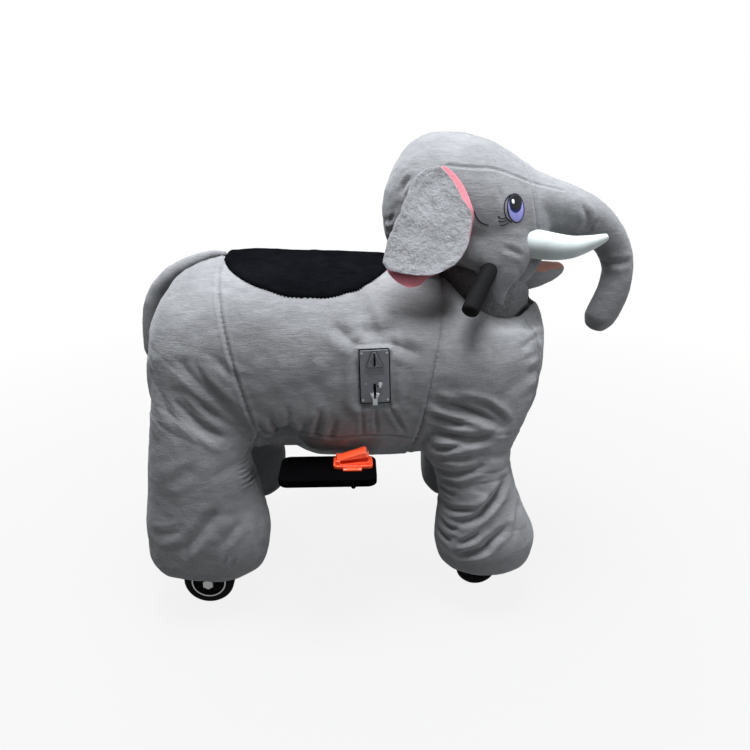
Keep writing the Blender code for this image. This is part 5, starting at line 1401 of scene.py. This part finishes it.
def make_cup():
    """The chrome cup under the lower slot, drawn in to a short tongue."""
    outer = ((-10.9, -35), (-6.2, -45), (-5.8, -60), (4, -60), (4.4, -45), (9.1, -35))
    inner = ((-9.7, -33), (-4.7, -44.5), (-4.5, -50), (2.7, -50), (2.9, -44.5), (7.9, -33))
    cup = PLATE.prism(outer, -7.5, 0.4, "coin_return_cup")
    cut(cup, PLATE.prism(inner, -6.2, -0.8))
    cut(cup, PLATE.block((-3.5, -10, -46), (1.7, 1, -33)))
    rounded(cup, 0.0006, 3)
    place_leaning(cup, "plate_metal", "dull_chrome")


def make_button():
    """The return button on its arm, which runs behind the plate."""
    # Head, dish, tail, neck, arm and hub
    button = PLATE.rod((11, -1.2, -14.1), (11, -7, -14.1), 4.8, 32, name="return_button")
    rounded(button, 0.0012, 3)
    cut(button, PLATE.rod((11, -6.4, -14.1), (11, -8, -14.1), 2.4, 24, 3.4))
    combine(button, rounded(PLATE.block((8, -5.2, -22.6), (13.4, -2, -17.1)), 0.0008, 2))
    combine(button, PLATE.rod((11, -2, -14.1), (11, 9.3, -14.1), 2.2, 20))
    combine(button, PLATE.rod((-9, 7.8, -8.1), (11, 7.8, -14.1), 1.4, 12))
    combine(button, PLATE.rod((-9, 6.3, -8.1), (-9, 9.3, -8.1), 4, 24))
    place(button, "coin_return", "zinc_steel", ("return_lever",), "dull_chrome", None, SMALL_EDGE)


def make_screws():
    """A slotted screw in each corner of the plate, and a small ring."""
    parts = []
    for x in (-25.5, 25.5):
        for z in (-50.5, 50.5):
            head = rounded(PLATE.rod((x, 0.6, z), (x, -1.2, z), 2.4, 24), 0.0005, 2)
            cut(head, PLATE.block((x - 4, -2, z - 0.3), (x + 4, -0.8, z + 0.3)))
            parts.append(head)
    profile = metres(((1.1, 0), (1.9, 0), (1.9, 1.1), (1.1, 1.1)))
    parts.append(spun("ring", profile, PLATE.at((-18.5, 0.1, -15)), (0, -1, 0), 24))
    place_leaning(join("coin_plate_screws", parts), "zinc_steel", "dull_chrome")


class RIDE_OT_coin_set(bpy.types.Operator):
    """Coin plate with its guide, slots and screws, the return button and the chrome return cup."""

    bl_idname = "ride.coin_set"
    bl_label = "Coin set"

    def execute(self, context):
        make_shade_gap_frame()
        make_plate()
        make_cup()
        make_button()
        make_screws()
        return {"FINISHED"}


def measures(node):
    """The middle, radius, half width and rim radius of a wheel."""
    low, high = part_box(node)
    radius = (high.z - low.z) / 2
    return (low + high) / 2, radius, (high.y - low.y) / 2, radius * 0.62


def wheel(node, body, bore, grooves):
    """One wheel in the place of its node."""
    centre, radius, half, rim = measures(node)
    deep = half * 0.56
    hub = half * 0.98
    outer_side = (
        (bore, hub), (bore + 0.007, hub), (bore + 0.009, deep), (rim - 0.002, deep),
        (rim, half - 0.002), (rim + 0.003, half), (radius - 0.006, half),
        (radius - radius * 0.05, half - 0.0015), (radius, half - 0.006),
    )
    profile = [(distance, -y) for distance, y in outer_side] + list(outer_side[::-1])
    tyre = spun(node + "_tyre", profile, centre, (0, 1, 0))
    cuts = []
    for turn in range(grooves):
        angle = 2 * pi * turn / grooves
        spot = centre + Vector((cos(angle), 0, sin(angle))) * (radius + 0.0004)
        groove = block((-0.0016, -half * 1.1, -0.0012), (0.0016, half * 1.1, 0.0012))
        groove.data.transform(Matrix.Translation(spot) @ Matrix.Rotation(-angle + pi / 2, 4, "Y"))
        cuts.append(groove)
    cut(tyre, join("grooves", cuts))
    ribs = 12
    for turn in range(ribs):
        rib = block((bore + 0.006, -half * 0.86, -0.0014), (rim - 0.0005, half * 0.86, 0.0014))
        turned = Matrix.Rotation(2 * pi * turn / ribs, 4, "Y")
        rib.data.transform(Matrix.Translation(centre) @ turned)
        combine(tyre, rib)
    place(tyre, body, "black_rubber", (node,), "black_rubber_grain", None, HARD_EDGE)


def rim_ring(node, body, side):
    """The pale ring that shows on the outside of a rear wheel."""
    centre, _, half, rim = measures(node)
    centre.y += side * (half - 0.0008)
    profile = ((rim + 0.001, 0), (rim + 0.0032, 0), (rim + 0.0036, 0.0012), (rim + 0.0006, 0.0012))
    ring = spun(node + "_tyre_rim_ring", profile, centre, (0, side, 0))
    place(ring, body, "grey_plastic", (), "wheel_rim_grey", None, HARD_EDGE)


class RIDE_OT_wheels(bpy.types.Operator):
    """Rubber tyres with tread grooves on ribbed hubs, with their rims."""

    bl_idname = "ride.wheels"
    bl_label = "Wheels"

    def execute(self, context):
        grooves = context.scene.ride_sizes.tread_grooves
        for name, side in SIDES:
            wheel("rear_wheel_" + name, "rear_axle_set", 0.009, grooves)
            rim_ring("rear_wheel_" + name, "rear_axle_set", side)
            wheel("front_wheel_" + name, "wheel_front_" + name, 0.0068, grooves)
        return {"FINISHED"}


class RIDE_OT_grips(bpy.types.Operator):
    """Rubber grips on the handlebar."""

    bl_idname = "ride.grips"
    bl_label = "Handlebar grips"

    def execute(self, context):
        for name, side in SIDES:
            grip = loft_line("grip_%s_rubber" % name, GRIP, side, (1, 0, 0), 40, 120, 0.06)
            place(grip, "steering", "black_rubber", ("grip_" + name,), "black_rubber_grain", None, GRIP_EDGE)
        return {"FINISHED"}


def make_base():
    """The flange with its raised middle, its tab and the two ears of the hinge."""
    base = PEDAL.slab((0, 0, 0), (83, 43.5, 7.8), 8, "pedal_flange")
    sunk(base, (0, 0, 1), 0.0036, 0.0024)
    rounded(base, 0.0019, 3)
    inner = PEDAL.slab((6.8, 6.5, 2), (76.8, 37, 12), 3.5)
    x, y, z = points_of(inner).T
    rise = 0.0062 * soft_step(x, PEDAL_LOW[0], PEDAL_HIGH[0]) - 0.0048
    put_points(inner, np.stack((x, y, z + np.where(z > PEDAL_LOW[2] + 0.005, rise, 0)), 1))
    combine(base, rounded(inner, 0.001, 2))
    combine(base, rounded(PEDAL.slab((20, -10, 0), (60, 6, 4), 2.2), 0.001, 2))
    for side in (-1, 1):
        ear = PEDAL.block((5, 22 + side * 15.2, 4), (15, 22 + side * 19, 18.1))
        combine(base, rounded(ear, 0.0016, 3))
    place(base, "root", "orange_plastic", ("pedal_base",), "orange_plastic_grain", None, SMALL_EDGE)


def make_lever():
    """The wedge with its lip, on the barrel of its hinge."""
    hinge_x, hinge_z, floor = PEDAL_HINGE[0], PEDAL_HINGE[2], PEDAL_HIGH[2]
    tip = PEDAL.at((75,))[0]

    def shares(item):
        x, y, z = points_of(item).T
        return x, y, z > (PEDAL_LOW[2] + 0.0005), (x - hinge_x) / (tip - hinge_x)

    lever = PEDAL.slab((7, 7.4, 0), (75, 36.6, 1), 4.2, "pedal_wedge")
    x, y, high, share = shares(lever)
    top = hinge_z + 0.0008 + (floor + 0.024 - hinge_z - 0.0008) * np.clip(share * 1.05, -0.1, 1)
    low = hinge_z - 0.003 + (floor + 0.0105 - hinge_z + 0.003) * share
    x = x - np.where(high, 0.006 * np.clip(share, 0, 1), 0.0)
    put_points(lever, np.stack((x, y, np.where(high, top, low)), 1))
    rounded(lever, 0.0013, 3)
    lip = PEDAL.slab((14, 7, 0), (75, 37, 1), 4.2)
    x, y, high, share = shares(lip)
    low = hinge_z - 0.0022 + (floor + 0.0115 - hinge_z + 0.0022) * share
    put_points(lip, np.stack((x, y, low + np.where(high, 0.003, 0.0)), 1))
    combine(lever, rounded(lip, 0.0006, 2))
    combine(lever, PEDAL.rod((10, 7.4, 16.5), (10, 36.6, 16.5), 3, 28))
    place(lever, "pedal", "orange_plastic", ("pedal_lever",), "orange_plastic_grain", None, SMALL_EDGE)


class RIDE_OT_pedal(bpy.types.Operator):
    """Accelerator: a flanged base with its screwed tab and a hinged wedge lever."""

    bl_idname = "ride.pedal"
    bl_label = "Accelerator"

    def execute(self, context):
        make_base()
        make_lever()
        clip = PEDAL.rod((71.2, 13, 32.5), (71.2, 31, 32.5), 1.9, 16, name="pedal_clip")
        combine(clip, PEDAL.rod((71.4, 13.5, 32.5), (75.5, 13.5, 27), 1.2, 12))
        place(clip, "pedal", "zinc_steel", (), "zinc_plating", None, SMALL_EDGE)
        parts = []
        for x in (25, 56):
            head = PEDAL.rod((x, -5.2, 3.6), (x, -5.2, 5.6), 3.1, 24, 2.4)
            cut(head, PEDAL.block((x - 4, -5.5, 5.1), (x + 4, -4.9, 6)))
            parts.append(head)
        place(join("pedal_screws", parts), "root", "zinc_steel", (), "polished_chrome", None, SMALL_EDGE)
        return {"FINISHED"}


class RIDE_OT_footboards(bpy.types.Operator):
    """Footboards with rounded corners and edges, and the bolt under each."""

    bl_idname = "ride.footboards"
    bl_label = "Footboards"

    def execute(self, context):
        for name, side in SIDES:
            node = "footboard_" + name
            low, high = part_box(node)
            board = slab((low.x, side * 0.203, low.z), (high.x, side * 0.31, high.z), 0.02, node + "_board")
            rounded(board, 0.0028, 3)
            foot = Vector((-0.081, side * 0.3, low.z + 0.001))
            combine(board, rounded(rod(foot, foot - Vector((0, 0, 0.009)), 0.009, 24, 0.003), 0.001, 2))
            place(board, "root", "black_plastic", (node,), "footboard_black", None, HARD_EDGE)
        return {"FINISHED"}


class RIDE_OT_hardware(bpy.types.Operator):
    """Finishes of the frame, the drive, the electrics and the other nodes that show as they are."""

    bl_idname = "ride.hardware"
    bl_label = "Hardware finishes"

    def execute(self, context):
        finishes = {
            "painted_steel": "black_powder_coat",
            "zinc_steel": "zinc_plating",
            "black_rubber": "black_rubber_grain",
            "black_plastic": "black_plastic_grain",
            "orange_plastic": "orange_plastic_grain",
            "plate_metal": "coin_plate_grey",
            "plywood": "birch_plywood",
            "grey_plastic": "grey_plastic_grain",
            "grey_plush": "grey_plush_pile",
            "black_plush": "black_plush_pile",
            "pale_plush": "pale_velour",
        }
        for name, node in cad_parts.items():
            for slot in node.material_slots:
                old = slot.material.name.split(".")[0] if slot.material else ""
                if old not in finishes:
                    raise RuntimeError("no finish for material %s of %s" % (old, name))
                slot.material = bpy.data.materials[finishes[old]]
        return {"FINISHED"}


class RIDE_PT_panel(bpy.types.Panel):
    """Lists the ride's sizes, colours and steps."""

    bl_label = "Elephant Ride"
    bl_idname = "RIDE_PT_panel"
    bl_space_type = "VIEW_3D"
    bl_region_type = "UI"
    bl_category = "Elephant Ride"

    def draw(self, context):
        layout = self.layout
        for group in (context.scene.ride_sizes, context.scene.ride_colours):
            box = layout.box()
            for key in type(group).__annotations__:
                box.prop(group, key)
        for step in STEPS:
            layout.operator(step.bl_idname)


STEPS = (
    RIDE_OT_stage, RIDE_OT_finishes, RIDE_OT_body, RIDE_OT_seat, RIDE_OT_tail, RIDE_OT_head, RIDE_OT_neck,
    RIDE_OT_tusks, RIDE_OT_ears, RIDE_OT_eyes, RIDE_OT_coin_set, RIDE_OT_wheels, RIDE_OT_grips, RIDE_OT_pedal,
    RIDE_OT_footboards, RIDE_OT_hardware,
)
CLASSES = (RideSizes, RideColours) + STEPS + (RIDE_PT_panel,)


def register():
    for item in CLASSES:
        bpy.utils.register_class(item)
    bpy.types.Scene.ride_sizes = PointerProperty(type=RideSizes)
    bpy.types.Scene.ride_colours = PointerProperty(type=RideColours)


def unregister():
    del bpy.types.Scene.ride_sizes
    del bpy.types.Scene.ride_colours
    for item in reversed(CLASSES):
        bpy.utils.unregister_class(item)


def main():
    register()
    for step in STEPS:
        group, name = step.bl_idname.split(".")
        getattr(getattr(bpy.ops, group), name)()


if __name__ == "__main__":
    main()
